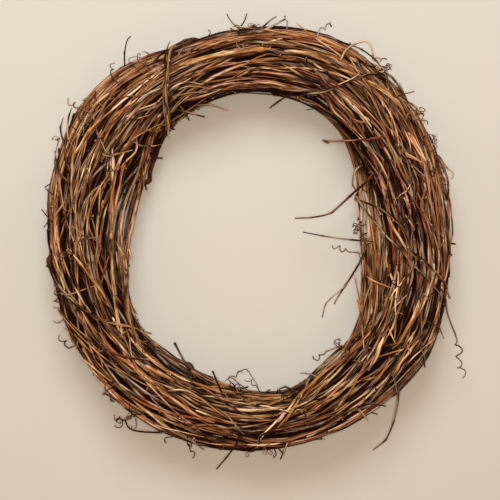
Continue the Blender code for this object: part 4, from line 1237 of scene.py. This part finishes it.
# %% Canes and twigs that stand out in the photograph
# Bark, tone from 0 dark to 1 pale and over, half thickness at root and tip, rise of the tip, and the
# route, as x and y in pixels
CANES_ON_TOP = (
    (GOLD, 1, 2.9, 2.3, 1, 176,68, 209,60, 236,55, 270,52),
    (GOLD, 1, 2.6, 2.2, 1, 284,53, 308,56, 329,66),
    (GOLD, 1.1, 2.2, 2, 2, 336,70, 354,77),
    (GOLD, 0.9, 2.8, 2.2, 1, 366,82, 394,102, 403,116),
    (CINNAMON, 0.8, 1.9, 1.5, 0, 181,60, 204,48, 230,42, 265,38, 294,34),
    (CINNAMON, 0.7, 1.6, 1.3, 0, 174,104, 207,97, 236,87, 260,85),
    (CINNAMON, 0.7, 1.4, 1.2, 0, 280,65, 303,79, 327,88),
    (CINNAMON, 0.8, 1, 0.8, 0, 231,68, 281,72),
    (CINNAMON, 1, 3, 2.4, 1, 406,133, 424,164),
    (GOLD, 0.9, 2.2, 1.8, 1, 382,147, 389,160),
    (GOLD, 1, 1, 0.8, 0, 407,160, 418,186),
    (GOLD, 0.8, 1.6, 1.3, 0, 90,111, 85,123, 79,136, 76,148, 74,156, 73.5,173, 73,190, 75,208, 79,219),
    (GOLD, 0.8, 2, 1.6, 0, 113,92, 103,98, 93,107, 90,114),
    (CINNAMON, 1, 1.5, 1.2, 0, 144,95, 138,101, 125,110, 115,117, 108,127, 100,140, 87,160),
    (RUSSET, 0.8, 1.8, 1.5, 0, 152,133, 148,148, 144,163),
    (CINNAMON, 0.55, 2.7, 2.4, 0, 150,152, 143,178, 136,205, 131,226, 127,250, 126,268, 127.5,297,
     132,322, 140,345),
    (GOLD, 0.6, 2.8, 2.5, 0, 114,150, 114,178, 113,205, 111.5,233, 113,260, 116,290, 121,325, 129,345),
    (CINNAMON, 1, 2.1, 1.8, 0, 125,153, 120,163, 116,178, 113,198, 111,219),
    (RUSSET, 1, 1.8, 1.5, 0, 128,159, 123,170, 120.5,183, 117,198, 115.5,219),
    (GOLD, 0.7, 1.3, 1.1, 0, 103,183, 101,198, 100,219),
    (CINNAMON, 0.8, 1.5, 1.2, 0, 76,210, 78,221, 81,237, 83,258, 85,263),
    (CINNAMON, 1, 1.6, 1.3, 0, 73,250, 84,264, 95,279, 103,290, 114,312),
    (UMBER, 0.8, 1.1, 0.9, 0, 51,220, 48,232, 50,246, 56,263),
    (GOLD, 0.8, 1.5, 1.2, 0, 101,210, 99,233, 101,245, 99,260, 101,281),
    (GOLD, 0.9, 1, 0.7, 0, 115,241, 125,256),
    (CINNAMON, 0.8, 1.3, 1.1, 0, 110,256, 105,273, 103,285),
    (CINNAMON, 1.1, 2, 1.6, 1, 99,329, 108,343, 120,355, 136,365, 152,378, 164,389, 179,400, 194,411,
     206,418, 215,420),
    (GOLD, 0.8, 1.6, 1.4, 0, 108,329, 120,341, 130,353, 138,360, 145,368),
    (CINNAMON, 1.1, 2.5, 2.1, 0, 144,363, 161,372, 177,381),
    (GOLD, 1, 1.1, 0.8, 0, 168,389, 172,388, 190,389, 206,399, 219,409, 229,416),
    (GREY, 1.1, 0.9, 0.7, 0, 147,388, 154,397, 164,407, 170,409, 179,416, 195,425),
    (CINNAMON, 0.7, 1.6, 1.3, 0, 105,392, 115,396, 124,404, 136,411, 147,416),
    (UMBER, 0.6, 1.1, 0.9, 0, 140,330, 158,349, 183,363, 201,374, 213,381),
    (CINNAMON, 0.5, 1.3, 1.1, 0, 210,391, 237,392, 264,393.5, 286,392.5, 297,389),
    (GOLD, 0.7, 1.6, 1.5, 0, 210,395, 228,397, 264,397, 290,395),
    (GOLD, 0.55, 1.5, 1.3, 0, 227,400, 241,401.5, 264,400, 286,398),
    (GOLD, 0.6, 1.8, 1.6, 0, 224,405, 246,408, 268,407, 289,404),
    (GOLD, 0.6, 1.5, 1.2, 0, 228,413, 250,414, 272,413, 290,406, 308,399, 322,385),
    (CINNAMON, 0.8, 1.3, 1.1, 0, 264,434, 281,431, 299,427, 317,422, 335,414, 350,405),
    (CINNAMON, 0.9, 1.3, 1.1, 0, 265,440, 283,439, 299,434, 317,428, 335,418, 350,410),
    (CINNAMON, 0.7, 1.2, 1.1, 0, 241,442, 255,442.5, 272,442, 286,439),
    (RUSSET, 0.9, 1.5, 1.2, 0, 349,376, 335,387, 326,396, 315,403, 308,410, 305,415),
    (GOLD, 1, 1.1, 1.6, 0, 257,445, 260,436, 264,430, 272,422, 280,414, 285,410, 290,403, 299,391,
     313,380, 327,366),
    (GOLD, 1, 1.2, 1, 0, 357,300, 360,311, 361,325, 362,337, 363.5,353),
    (GOLD, 0.6, 1.8, 1.5, 0, 383,325, 378,337, 371,348, 366,356, 361,368, 356,376, 353,383, 345,394,
     337,404, 331,411),
    (GOLD, 0.75, 2.3, 2, 0, 385,333, 381,339, 377,346, 375,353, 371,360, 367,369),
    (CINNAMON, 1.1, 2.1, 1.6, 0, 418,297, 414,310, 410,318, 405,327, 400,337, 395,343, 390,348),
    (CINNAMON, 0.9, 1.6, 1.3, 0, 388,355, 384,365, 378,375, 373,382, 366,390, 356,397, 347,403, 337,410,
     325,419, 310,428),
    (CINNAMON, 1, 1.3, 1.1, 0, 371,391, 360,399.5, 349,407, 335,416, 323,424),
    (CINNAMON, 0.9, 1.8, 1.5, 0, 424,333, 417,340, 410,346, 407,352, 399,361, 393,370, 385,377),
    (UMBER, 0.4, 2.1, 1.8, 0, 430,317, 426,326, 420,337, 414,350, 403,363, 395,375, 386,383, 374,393),
    (GOLD, 1, 1, 0.8, 0, 438,331, 430,340, 423,346, 411,356, 403,366),
    (RUSSET, 0.9, 1.3, 1.1, 0, 432,152, 446,176, 448.5,190, 448.5,228, 449,244, 447,263, 444.5,278,
     438,289),
    (RUSSET, 0.8, 2.1, 1.8, 0, 402,198, 405,204, 409,217),
    (UMBER, 0.5, 2.1, 1.8, 0, 409,197, 412,205, 416,221, 419,233, 421.5,248),
    (RUSSET, 0.9, 1.3, 1.1, 0, 412,198, 418,212, 423,227, 428,239, 434,251, 438,259),
    (CINNAMON, 1.1, 1.5, 1.2, 0, 415,192, 418,199, 422,206),
    (CINNAMON, 0.9, 2, 1.6, 0, 386,215, 391,228, 397,237, 403,247, 408,256),
    (CINNAMON, 0.9, 1.5, 1.2, 0, 430,244, 431,259, 431.5,278),
    (RUSSET, 0.7, 1.8, 1.6, 0, 418.5,253, 418.5,266, 419,282, 416,297),
    (GOLD, 0.9, 1.1, 0.9, 0, 407,263, 406,278, 405,289),
    (GOLD, 0.9, 1.3, 1.1, 0, 411,283, 408,297, 402,310),
    (CINNAMON, 1, 1.1, 0.9, 0, 405,274, 399,284, 392,292, 388,301),
    (GOLD, 0.9, 1, 0.8, 0, 410,289, 402,297, 394,305, 390,310),
    (GOLD, 0.7, 1.5, 1.2, 0, 368,240, 371,253, 372,266, 372,282, 366,297, 364,310),
    (GOLD, 0.6, 1.8, 1.5, 0, 374,228, 376,239, 377,250, 375,259),
    (GOLD, 0.9, 1.6, 1.3, 0, 385,240, 386,251, 385.5,263, 388,270, 391,278, 392,285),
    (GOLD, 1, 0.9, 0.7, 0, 354,266, 356,282, 359,297, 359.5,310),
    (CINNAMON, 0.6, 1.5, 1.2, 0, 363,255, 362.5,274, 362,289, 360,305),
    (GREY, 0.7, 1.3, 1, 1, 355,195, 363,208, 370,218, 378,227, 386,237, 397,248, 406,259, 414,268,
     422,277, 433,288, 441,297),
)
TWIGS_ON_TOP = (
    (GOLD, 0.8, 1, 0.6, 1, 92,111, 98,134, 102.5,148, 107,157, 134,151),
    (GOLD, 0.8, 1, 0.6, 1, 134,142, 142,149, 162,144.5),
    (GOLD, 0.8, 1, 0.7, 1, 121.5,152, 137,137, 165,123),
    (CINNAMON, 0.9, 1.2, 0.8, 1, 52.5,223.5, 72,195.5),
    (GOLD, 1, 1.6, 1, 1, 70.5,162, 95,126.5, 121.5,104, 165,69),
    (GREY, 1, 1.3, 0.9, 1, 357,139, 365.5,147.5, 382.5,161.5, 380.5,171, 373.5,185),
    (GOLD, 1.3, 1.1, 0.7, 3, 394,200.5, 400,194.5, 406,193.5, 408,185),
    (GREY, 1, 1.4, 0.9, 1, 210,401, 217,406.5, 228,412.5, 237,423, 244,431),
    (UMBER, 0.7, 0.6, 0.4, 4, 225,379, 231,373, 237,380, 249,387, 252,395),
    (UMBER, 0.7, 0.6, 0.4, 5, 236,375, 237,370, 245,366.5, 253.5,376, 258.5,382, 259.5,390),
    (GOLD, 1.3, 1.3, 1.1, 1, 400,211, 405,217, 410,224, 412,230),
    (GREY, 1.3, 0.7, 0.5, 1, 434,227, 441,234, 446,242, 445,250),
    (GREY, 1.2, 0.8, 0.6, 1, 434,227, 426,239),
    (GOLD, 1.3, 2.2, 1.8, 0, 435,233, 437,242),
    (GOLD, 1, 1.1, 0.8, 1, 366,276, 373,281, 382,285, 391,288),
    (CINNAMON, 1.2, 1.2, 1, 1, 372,356, 381,354, 386,352.5, 391,350.5, 401,348),
    (GOLD, 1, 1, 0.8, 1, 358.5,379, 369,376.5, 377,374),
    (GOLD, 0.9, 1.1, 0.9, 1, 404,339, 406,346.5, 408,353),
    (GOLD, 0.9, 1.2, 1, 1, 386,325, 390.5,335.5, 393,342),
    (CINNAMON, 0.7, 0.9, 0.7, 1, 126,240, 134,262),
    (UMBER, 0.4, 0.9, 0.6, 3, 94,124, 86,122, 79,119, 78,112, 82,107, 88,106),
    (UMBER, 0.5, 1.2, 1, 2, 104,108, 97,105, 92,101, 93,97, 96,92),
    (UMBER, 0.4, 1.1, 0.8, 3, 166,68, 166,58, 168,50, 171,45),
    (UMBER, 0.4, 0.8, 0.6, 3, 156,70, 152,60, 148,54, 143,54),
    (UMBER, 0.4, 1, 0.7, 3, 140,74, 134,66, 127,67, 120,72, 118,78),
    (CINNAMON, 0.4, 1, 0.7, 3, 320,42, 336,42, 352,47, 368,56, 380,70, 388,84, 396,98),
    (UMBER, 0.5, 1.4, 1, 3, 74,186, 64,178, 58,164, 57,152),
    (UMBER, 0.4, 1.1, 0.9, 2, 72,160, 64,146, 61,132, 64,118),
    (CINNAMON, 0.6, 1.2, 0.9, 3, 76,150, 68,136, 68,122, 72,108),
    (UMBER, 0.4, 0.9, 0.6, 3, 62,204, 54,198, 47,188),
    (UMBER, 0.4, 0.9, 0.7, 3, 66,318, 58,326, 54,320),
    (CINNAMON, 0.5, 1, 0.7, 3, 436,190, 446,196, 451,212, 452,232, 448,248),
    (UMBER, 0.4, 0.9, 0.7, 3, 424,320, 438,328, 442,338),
)


# A strand's ends dive under the others: there it is half as thick, and whole after this many points
END_POINTS = 12


def place_by_photo(rows, kind):
    """Lays each row's strand on the pile in turn.
    thickness = row's * min(1, 1/2 + points from the nearer end / 12)."""
    for bark_name, tone, root, tip, rise, *route in rows:
        spots = smooth_route(route)
        from_end = np.minimum(np.arange(len(spots)), np.arange(len(spots))[::-1])
        thick = np.linspace(root, tip, len(spots)) * np.minimum(1, 0.5 + from_end / END_POINTS)
        points, thick = with_buds(laid_line(spots, thick, rise, FINE_STEP), thick, kind)
        loose[bark_name].append((points, thick, tone))
        stamp(points, thick)


# Swollen joints: middle in pixels, half thickness, and which way they lie in degrees from across
KNOTS = (
    (126, 264, 4.2, 95), (144.5, 169, 3.0, 78), (113, 236.5, 2.6, 90), (280.5, 414.5, 2.4, 55),
    (102, 247, 2.2, 92), (388, 270, 2.6, 80), (363, 300, 2.2, 88),
    (104, 205, 2.0, 84), (311, 160, 1.8, -25),
)
KNOT_LONG = 2.4
KNOT_POINTS = 11
KNOT_TONE = 0.55


def knot(x, y, thick, degrees):
    """A swollen joint: a spindle half sunk into the pile, its half thickness
    = thick * (0.45 + 0.55 * (1 - along^2)) with along from -1 to 1."""
    along, turn = np.linspace(-1, 1, KNOT_POINTS), math.radians(degrees)
    middle = onto_pile(to_front([(x, y)]))
    spots = middle + KNOT_LONG * thick * along[:, None] * (math.cos(turn), math.sin(turn))
    level = laid(spots, np.full(KNOT_POINTS, 0.5 * thick), 0.48 * thick).mean() - 0.3 * thick
    line = np.column_stack([spots, np.full(KNOT_POINTS, level)])
    return line, thick * (0.45 + 0.55 * (1 - along ** 2)), KNOT_TONE


place_by_photo(CANES_ON_TOP, "cane on top")
for row in KNOTS:
    loose[CINNAMON].append(knot(*row))
    stamp(*loose[CINNAMON][-1][:2])
place_by_photo(TWIGS_ON_TOP, "twig on top")
print("placed by the photograph:", len(CANES_ON_TOP), "canes,", len(TWIGS_ON_TOP), "twigs")

# %% Twigs strewn over the front
TWIGS = 48
TWIG_STEP = 4.0
LEAST_TWIG_POINTS = 6
# Least and most: length, half thickness at the root, turn aside at the start, and from bud to bud
TWIG_LENGTH = (50, 190)
TWIG_ROOT = (0.7, 1.4)
TWIG_TURN = (0.03, 0.5)
TWIG_BUDS = (24, 42)
TWIG_KINK = 0.10
TWIG_RISE = 5.0
TWIG_TONE = (0.2, 1.2)
TWIG_SHARE = (0.25, 0.35, 0.12, 0.13, 0.15)
# How far it follows the ring's bend, leaves the band, and keeps clear of the binding canes
FOLLOW = 0.75
OVERHANG = 1.03
OFF_BINDER = 5.5


def strewn_route():
    """A twig's plan: from a point of the band, heading = tangent + turn + kinks at the buds, while
    it follows the ring by a share. It stops where it has left the band or meets a binding cane."""
    theta = rng.uniform(0, TURN)
    middle, half = band(np.array(theta))
    reach = middle[0] + half[0] * rng.uniform(-0.9, 0.9)
    start = RING_CENTRE + reach * np.array([math.cos(theta), math.sin(theta)])
    way = rng.choice([-1, 1])
    count = int(rng.uniform(*TWIG_LENGTH) / TWIG_STEP)
    along = np.arange(count) * TWIG_STEP
    buds = np.floor(along / rng.uniform(*TWIG_BUDS) + rng.uniform())
    kinks = rng.normal(0, TWIG_KINK, 12)[buds.astype(int)]
    turn = rng.choice([-1, 1]) * rng.uniform(*TWIG_TURN)
    heading = theta + way * (TURN / 4 + FOLLOW * along / reach) + turn + kinks
    steps = TWIG_STEP * np.column_stack([np.cos(heading), np.sin(heading)])
    spots = start + np.cumsum(steps, axis=0) - steps[0]
    theta, reach = polar(spots)
    middle, half = band(theta)
    out = np.abs(reach - middle[:, 0]) > OVERHANG * half[:, 0]
    out |= np.linalg.norm(spots[:, None] - front_ties[None, :, :2], axis=2).min(axis=1) < OFF_BINDER
    return spots[:np.argmax(out)] if out.any() else spots


for _ in range(TWIGS):
    spots = strewn_route()
    if len(spots) < LEAST_TWIG_POINTS:
        continue
    root = rng.uniform(*TWIG_ROOT)
    thick = np.linspace(root, TAPER * root, len(spots))
    points = laid_line(spots, thick, rng.uniform(0, TWIG_RISE), TWIG_STEP)
    points, thick = with_buds(points, thick, "strewn twig")
    loose[any_bark(TWIG_SHARE)].append((points, thick, rng.uniform(*TWIG_TONE)))
    stamp(points, thick)
print("twigs in all:", sum(len(lines) for lines in loose.values()), "pile top:", round(top.max(), 1))

# %% [markdown]
# ## Tendrils
#
# A tendril that found no hold winds itself up. Drawn from above, its heading turns faster and
# faster towards the tip, which gives first an arch and then a curl. All tendrils are worked out
# together, as arrays with one row for each. Clusters sit where the photograph has them, and
# single ones are spread round the ring.

# %% Curling tendrils
# Middle of the cluster in pixels, how far it spreads in pixels, and how many
CLUSTERS = (
    (430, 148, 9, 7), (70, 256, 8, 12), (295, 405, 14, 10), (399, 200, 9, 10), (359, 232, 10, 9),
    (87, 237, 10, 6), (268, 440, 16, 6), (434, 176, 7, 7), (250, 36, 14, 6), (154, 68, 12, 4),
    (382, 70, 6, 7), (130, 416, 6, 4), (144, 60, 10, 6), (84, 112, 6, 4), (347, 352, 8, 4),
    (240, 388, 12, 4), (196, 430, 12, 4), (64, 204, 6, 3), (100, 158, 12, 4), (412, 116, 8, 4),
    (392, 300, 16, 5),
)
# The single ones, and where in the band they stand: -1 at its inner edge and 1 at its outer
SINGLE = 46
PLACES = [-0.95, -0.7, 0.2, 0.7, 0.95]
TENDRIL_STEP = 1.2
TENDRIL_POINTS = 46
# Least and most: half thickness at the root, size, and the power by which the turning grows
TENDRIL_THICK = (0.42, 0.75)
TENDRIL_TIP = 0.35
TENDRIL_SIZE = (0.2, 0.5)
TENDRIL_GROWS = (0.6, 2.2)
TENDRIL_TONE = (0.05, 0.8)
# The tightest coil's radius, and how much wider others are
TIGHTEST = 1.7
WIDER = (1.0, 2.4)
# The turning is uneven by this much, in so many waves
KINKED = 0.9
KINKS = (1.5, 3.5)
# The spread of the first heading about straight outwards, and how far the tendril waves and rises
ASTRAY = 1.6
WAVES_UP = 1.2
RISES = 5.0
TENDRIL_BARKS = {"umber_vine": 0.5, "golden_vine": 0.3, "russet_vine": 0.2}


def tendril_starts():
    """Where the tendrils grow: scattered in their clusters, and singly near both edges of the ring."""
    middle = np.repeat([c[:2] for c in CLUSTERS], [c[3] for c in CLUSTERS], axis=0)
    scatter = np.repeat([c[2] for c in CLUSTERS], [c[3] for c in CLUSTERS])[:, None]
    placed = to_front(middle + scatter * rng.uniform(-1, 1, middle.shape))
    theta = rng.uniform(0, TURN, SINGLE)
    centre, half = band(theta)
    reach = centre[:, 0] + half[:, 0] * rng.choice(PLACES, SINGLE)
    return np.concatenate([placed, on_ring(theta, reach)])


def drawn(*limits):
    """A random number for every tendril, as a column."""
    return rng.uniform(*limits, (len(starts), 1))


def tendril_plans():
    """The tendrils from above: heading = first heading + the sum of the turning, which is
    share^power * step / radius * (1 + 0.9 * waves). Also how big each is, and its lift."""
    size = drawn(*TENDRIL_SIZE)
    turning = rng.choice([-1, 1], len(starts))[:, None] * share ** drawn(*TENDRIL_GROWS)
    turning *= TENDRIL_STEP / (TIGHTEST * drawn(*WIDER))
    turning *= 1 + KINKED * np.sin(TURN * (drawn(*KINKS) * share + drawn(0, 1)))
    theta, reach = polar(starts)
    side = np.sign(reach - band(theta)[0][:, 0])
    outward = side[:, None] * (starts - RING_CENTRE)
    heading = np.arctan2(outward[:, 1], outward[:, 0]) + rng.normal(0, ASTRAY, len(starts))
    heading = heading[:, None] + np.cumsum(turning, axis=1)
    steps = TENDRIL_STEP * size[..., None] * np.stack([np.cos(heading), np.sin(heading)], axis=-1)
    wave = np.sin(TURN * (1.5 * share + drawn(0, 1)))
    lift = WAVES_UP * wave + RISES * share * drawn(0, 1)
    return starts[:, None] + np.cumsum(steps, axis=1), size[:, 0], lift


starts = onto_pile(tendril_starts())
share = np.linspace(0, 1, TENDRIL_POINTS)
for spots, size, lift in zip(*tendril_plans()):
    thick = np.linspace(rng.uniform(*TENDRIL_THICK), TENDRIL_TIP, TENDRIL_POINTS)
    height = laid(spots, thick, TENDRIL_STEP * size)
    if np.isnan(height[0]):
        continue
    height = np.minimum(height + lift, CEILING) - 1.5 * (1 - share) ** 12
    bark_name = str(rng.choice(tuple(TENDRIL_BARKS), p=tuple(TENDRIL_BARKS.values())))
    tone = rng.uniform(*TENDRIL_TONE)
    loose[bark_name].append((np.column_stack([spots, height]), thick, tone))
print("tendrils:", len(starts))

# %% [markdown]
# ## Stubs and peeling bark
#
# All over, there are short broken side shoots at the buds, and strips of outer bark that have
# come loose at one end. Both belong on the outside of the bundle, all the way round it, so they
# are put on points of the canes that lie on its surface. The strips follow their cane, flat
# against it, and then lift off and curl.

# %% Where the canes show on the outside
STUBS = 150
PEELS = 230
# How far out in the section, and how high above the floor; points kept free at a strand's start and end
SURFACE = 0.93
CLEAR_OF_FLOOR = 6.0
FROM_START, FROM_END = 4, 16
count = [len(points) for points, _ in strands]
strand_of = np.repeat(np.arange(len(strands)), count)
step_of = np.concatenate([np.arange(n) for n in count])
all_points = np.concatenate([points for points, _ in strands])
outside = bundle_heart(all_points)[1] > SURFACE
inner = (step_of > FROM_START) & (step_of < np.repeat(count, count) - FROM_END)
surface_spots = np.flatnonzero(outside & inner & (all_points[:, 2] > CLEAR_OF_FLOOR))
print("points on the outside:", len(surface_spots))

# %% Stubs and peels
# Least and most: length, lean from the cane, and roll round it; the curve at the end, the thickest
# that a stub is, and its shares of the thickness from root to tip
STUB_LENGTH = (3.0, 12.0)
STUB_LEAN = (0.6, 1.2)
STUB_ROLL = (-0.9, 0.9)
STUB_CURVE = 1.5
STUB_THICKEST = 1.4
STUB_THICK = np.array([1.15, 0.85, 0.75, 0.72, 0.8])
PEEL_LENGTH = (14.0, 60.0)
PEEL_STEP = 2.5
PEEL_ROLL = (-1.0, 1.0)
# Half its thickness, and half its width; how far it lifts off and drifts aside
PEEL_THIN = 0.22
PEEL_WIDTH = (0.7, 1.3)
PEEL_LIFT = (1.0, 5.0)
PEEL_DRIFT = (-4.0, 4.0)
# It leaves its cane after these shares of its length, and the lift's factor makes it 1 at the end
LIFTS_FROM = 0.45
DRIFTS_FROM = 0.3
LIFT_FACTOR = 3.3
# Share of the length, and how thick it is there
PEEL_TAPER = ((0, 0.1, 0.8, 1), (0.3, 1.0, 0.9, 0.25))


def outward_from(points, ahead):
    """The direction out of the bundle at each point, square to the cane."""
    out = unit(points - bundle_heart(points)[0])
    return unit(out - (out * ahead).sum(axis=1, keepdims=True) * ahead)


def stub(spot):
    """A short side shoot with a broken tip: it leaves its cane at 35 to 70 degrees."""
    points, thick = strands[strand_of[spot]]
    n = step_of[spot]
    ahead = unit(points[n + 1] - points[n - 1])
    out = outward_from(points[n:n + 1], ahead[None])[0]
    aside = np.cross(ahead, out)
    lean, roll = rng.uniform(*STUB_LEAN), rng.uniform(*STUB_ROLL)
    square = math.cos(roll) * out + math.sin(roll) * aside
    way = math.cos(lean) * rng.choice([-1, 1]) * ahead + math.sin(lean) * square
    share = np.linspace(0, 1, 5)[:, None]
    line = points[n] + share * rng.uniform(*STUB_LENGTH) * way + share ** 2 * STUB_CURVE * ahead
    return line, min(0.9 * thick[n], STUB_THICKEST) * STUB_THICK


def peel(spot):
    """A strip of bark. It follows its cane and then leaves it by the square of the way:
    lift * 3.3 * (share - 0.45)^2 outwards and drift * (share - 0.3)^2 aside."""
    here = slice(step_of[spot], step_of[spot] + FROM_END)
    points, thick = strands[strand_of[spot]]
    line, radius = respaced(points[here], thick[here], PEEL_STEP)
    count = max(5, min(int(rng.uniform(*PEEL_LENGTH) / PEEL_STEP), len(line)))
    line, radius = line[:count], radius[:count]
    ahead = unit(np.gradient(line, axis=0))
    out = outward_from(line, ahead)
    aside = np.cross(ahead, out)
    roll = rng.uniform(*PEEL_ROLL)
    facing = math.cos(roll) * out + math.sin(roll) * aside
    share = np.linspace(0, 1, count)
    lift = rng.uniform(*PEEL_LIFT) * np.maximum(0, share - LIFTS_FROM) ** 2 * LIFT_FACTOR
    drift = rng.uniform(*PEEL_DRIFT) * np.maximum(0, share - DRIFTS_FROM) ** 2
    line = line + (0.98 * radius + lift)[:, None] * facing + drift[:, None] * aside
    return line, PEEL_THIN * np.interp(share, *PEEL_TAPER), np.cross(ahead, facing)


stub_lines = [stub(spot) for spot in rng.choice(surface_spots, STUBS, replace=False)]
peel_lines = [peel(spot) for spot in rng.choice(surface_spots, PEELS, replace=False)]
print("stubs:", len(stub_lines), "peels:", len(peel_lines))

# %% The pile's mean height
# Cells to each side: 4.5 mm close by, and 16.5 mm wide around
CLOSE = 3
WIDE = 11


def mean_height(reach):
    """The map's mean where there is a pile, over a square of cells, taken twice to soften it."""
    level, known = np.where(top > 0, top, 0.0), (top > 0).astype(float)
    for axis in (0, 1, 0, 1):
        level, known = (
            sum(np.roll(cells_of, shift, axis) for shift in range(-reach, reach + 1))
            for cells_of in (level, known)
        )
    return level / np.maximum(known, 1e-6)


mean_close, mean_wide = mean_height(CLOSE), mean_height(WIDE)
print("pile's mean height: up to", round(mean_close.max(), 1), "mm, wide:", round(mean_wide.max(), 1))

# %% Wrapping the canes
# Corners round each kind of strand, and the half thickness below which it has a tendril's
DOWN = np.array([0, 0, -1.0])
CANE_SIDES = 9
BINDING_SIDES = 10
SHOOT_SIDES = 7
THIN_SIDES = 6
TENDRIL_SIDES = 5
TENDRIL_THICKEST = 0.8
BINDING_TONE = {"thick_binding_cane": 0.5, "thin_binding_cane": 0.1}
SHOOT_TONE = (0.1, 0.6)
PEEL_TONE = (0.3, 1.3)
THIN_SHARE = (0.30, 0.25, 0.15, 0.10, 0.20)
SLOTS = {part["node"]: part["material_slot"] for part in frame["record"]["subparts"]}
for name in CANES:
    skins = [skin(*main_lines[name], CANE_SIDES, rng.uniform(), facing=DOWN)]
    skins += [
        skin(points, thick, SHOOT_SIDES, rng.uniform(*SHOOT_TONE))
        for owner, points, thick in shoot_lines if owner == name
    ]
    piece(name + "_bark", skins, SLOTS[name], name)
for name in BINDERS:
    skins = [skin(*main_lines[name], BINDING_SIDES, BINDING_TONE[name])]
    piece(name + "_bark", skins, SLOTS[name], name)
thin_kinds = rng.choice(tuple(BARKS), p=THIN_SHARE, size=len(fine_lines))
for kind in BARKS:
    skins = [
        skin(*line, THIN_SIDES, rng.uniform(), facing=DOWN)
        for line, its in zip(fine_lines, thin_kinds) if its == kind
    ]
    piece("thin_canes_" + kind, skins, kind)
for kind in BARKS:
    skins = []
    for points, thick, tone in loose[kind]:
        sides = TENDRIL_SIDES if thick[0] < TENDRIL_THICKEST else THIN_SIDES
        skins.append(skin(points, thick, sides, tone, facing=DOWN))
    piece("twigs_and_tendrils_" + kind, skins, kind)
piece("broken_stubs", [skin(*line, THIN_SIDES, rng.uniform()) for line in stub_lines], UMBER)
peel_skins = [
    skin(line, thick, THIN_SIDES, rng.uniform(*PEEL_TONE), ridges=0.0, facing=across,
         width=rng.uniform(*PEEL_WIDTH) / PEEL_THIN)
    for line, thick, across in peel_lines
]
piece("peeling_bark", peel_skins, GOLD)

# %% [markdown]
# ## Floor, light and camera
#
# The photograph looks straight down on the wreath, with a little perspective. Its light is soft and
# falls from beyond the wreath's top, so the floor is brightest there. It is rebuilt as a large round
# cool lamp high beyond the top, a small round one beside the camera, which shapes each strand, and a
# weak warm fill from all around, as a pale room gives. The floor is matt paint on a smooth ground.

# %% The floor
PALE_FLOOR = "d0c7bb"
FLOOR_ROUGHNESS = 0.8
# Cloudy brushwork: lighter and darker by 3%, about 0.3 m across
CLOUDS = {3: 0.97, 4: 1.03}
CLOUD_SCALE = 3.0
HALF_FLOOR = 4.0
floor_material = bpy.data.materials.new("matt_painted_floor")
floor_material.use_nodes = True
tree = floor_material.node_tree
where = add(tree, "ShaderNodeTexCoord").outputs["Object"]
cloud = add(tree, "ShaderNodeTexNoise", {"Vector": where, "Scale": CLOUD_SCALE, "Detail": 2.0})
level = add(tree, "ShaderNodeMapRange", {0: cloud} | CLOUDS)
level = add(tree, "ShaderNodeCombineColor", {0: level, 1: level, 2: level})
paint = {0: 1.0, 6: linear(PALE_FLOOR), 7: level}
paint = add(tree, "ShaderNodeMix", paint, data_type="RGBA", blend_type="MULTIPLY")
tree.links.new(paint.outputs[2], tree.nodes["Principled BSDF"].inputs["Base Color"])
tree.nodes["Principled BSDF"].inputs["Roughness"].default_value = FLOOR_ROUGHNESS
floor_mesh = bpy.data.meshes.new("floor")
corners = [(x * HALF_FLOOR, y * HALF_FLOOR, 0) for x, y in ((-1, -1), (1, -1), (1, 1), (-1, 1))]
floor_mesh.from_pydata(corners, [], [(0, 1, 2, 3)])
floor_mesh.materials.append(floor_material)
floor = bpy.data.objects.new("floor", floor_mesh)
bpy.context.scene.collection.objects.link(floor)
print("floor:", 2 * HALF_FLOOR, "m square")

# %% Light and camera
# Metres: the camera is a little off the wreath's middle, as the photographer's was
CAMERA_AT = (-0.00483, -0.0092, 1.6675)
VIEW_ANGLE = 20.0
SENSOR = 36.0
# Place, target, watts, width and colour of each lamp
LAMPS = {
    "key_light": ((-0.12, 1.35, 1.5), (0, 0, 0), 29.0, 1.2, (0.76, 0.90, 1.0)),
    "overhead_light": ((*CAMERA_AT[:2], 1.75), (*CAMERA_AT[:2], 0), 13.0, 0.16, (1.0, 0.97, 0.93)),
}
FILL = (1.0, 0.72, 0.43, 1.0)
FILL_STRENGTH = 0.43
for name, (place, target, watts, width, colour) in LAMPS.items():
    lamp = bpy.data.lights.new(name, "AREA")
    lamp.shape, lamp.energy, lamp.size, lamp.color = "DISK", watts, width, colour
    lamp_object = bpy.data.objects.new(name, lamp)
    lamp_object.location = place
    back = Vector(place) - Vector(target)
    lamp_object.rotation_euler = back.to_track_quat("Z", "Y").to_euler()
    bpy.context.scene.collection.objects.link(lamp_object)

world = bpy.data.worlds.new("soft_fill")
world.use_nodes = True
world.node_tree.nodes["Background"].inputs["Color"].default_value = FILL
world.node_tree.nodes["Background"].inputs["Strength"].default_value = FILL_STRENGTH
bpy.context.scene.world = world

camera = bpy.data.cameras.new("camera")
camera.sensor_width = SENSOR
camera.lens = SENSOR / 2 / math.tan(math.radians(VIEW_ANGLE / 2))
camera_object = bpy.data.objects.new("camera", camera)
camera_object.location = CAMERA_AT
bpy.context.scene.collection.objects.link(camera_object)
bpy.context.scene.camera = camera_object
bpy.context.scene.view_settings.view_transform = "Standard"
print("lamps:", ", ".join(LAMPS), "camera:", CAMERA_AT[2], "m up")
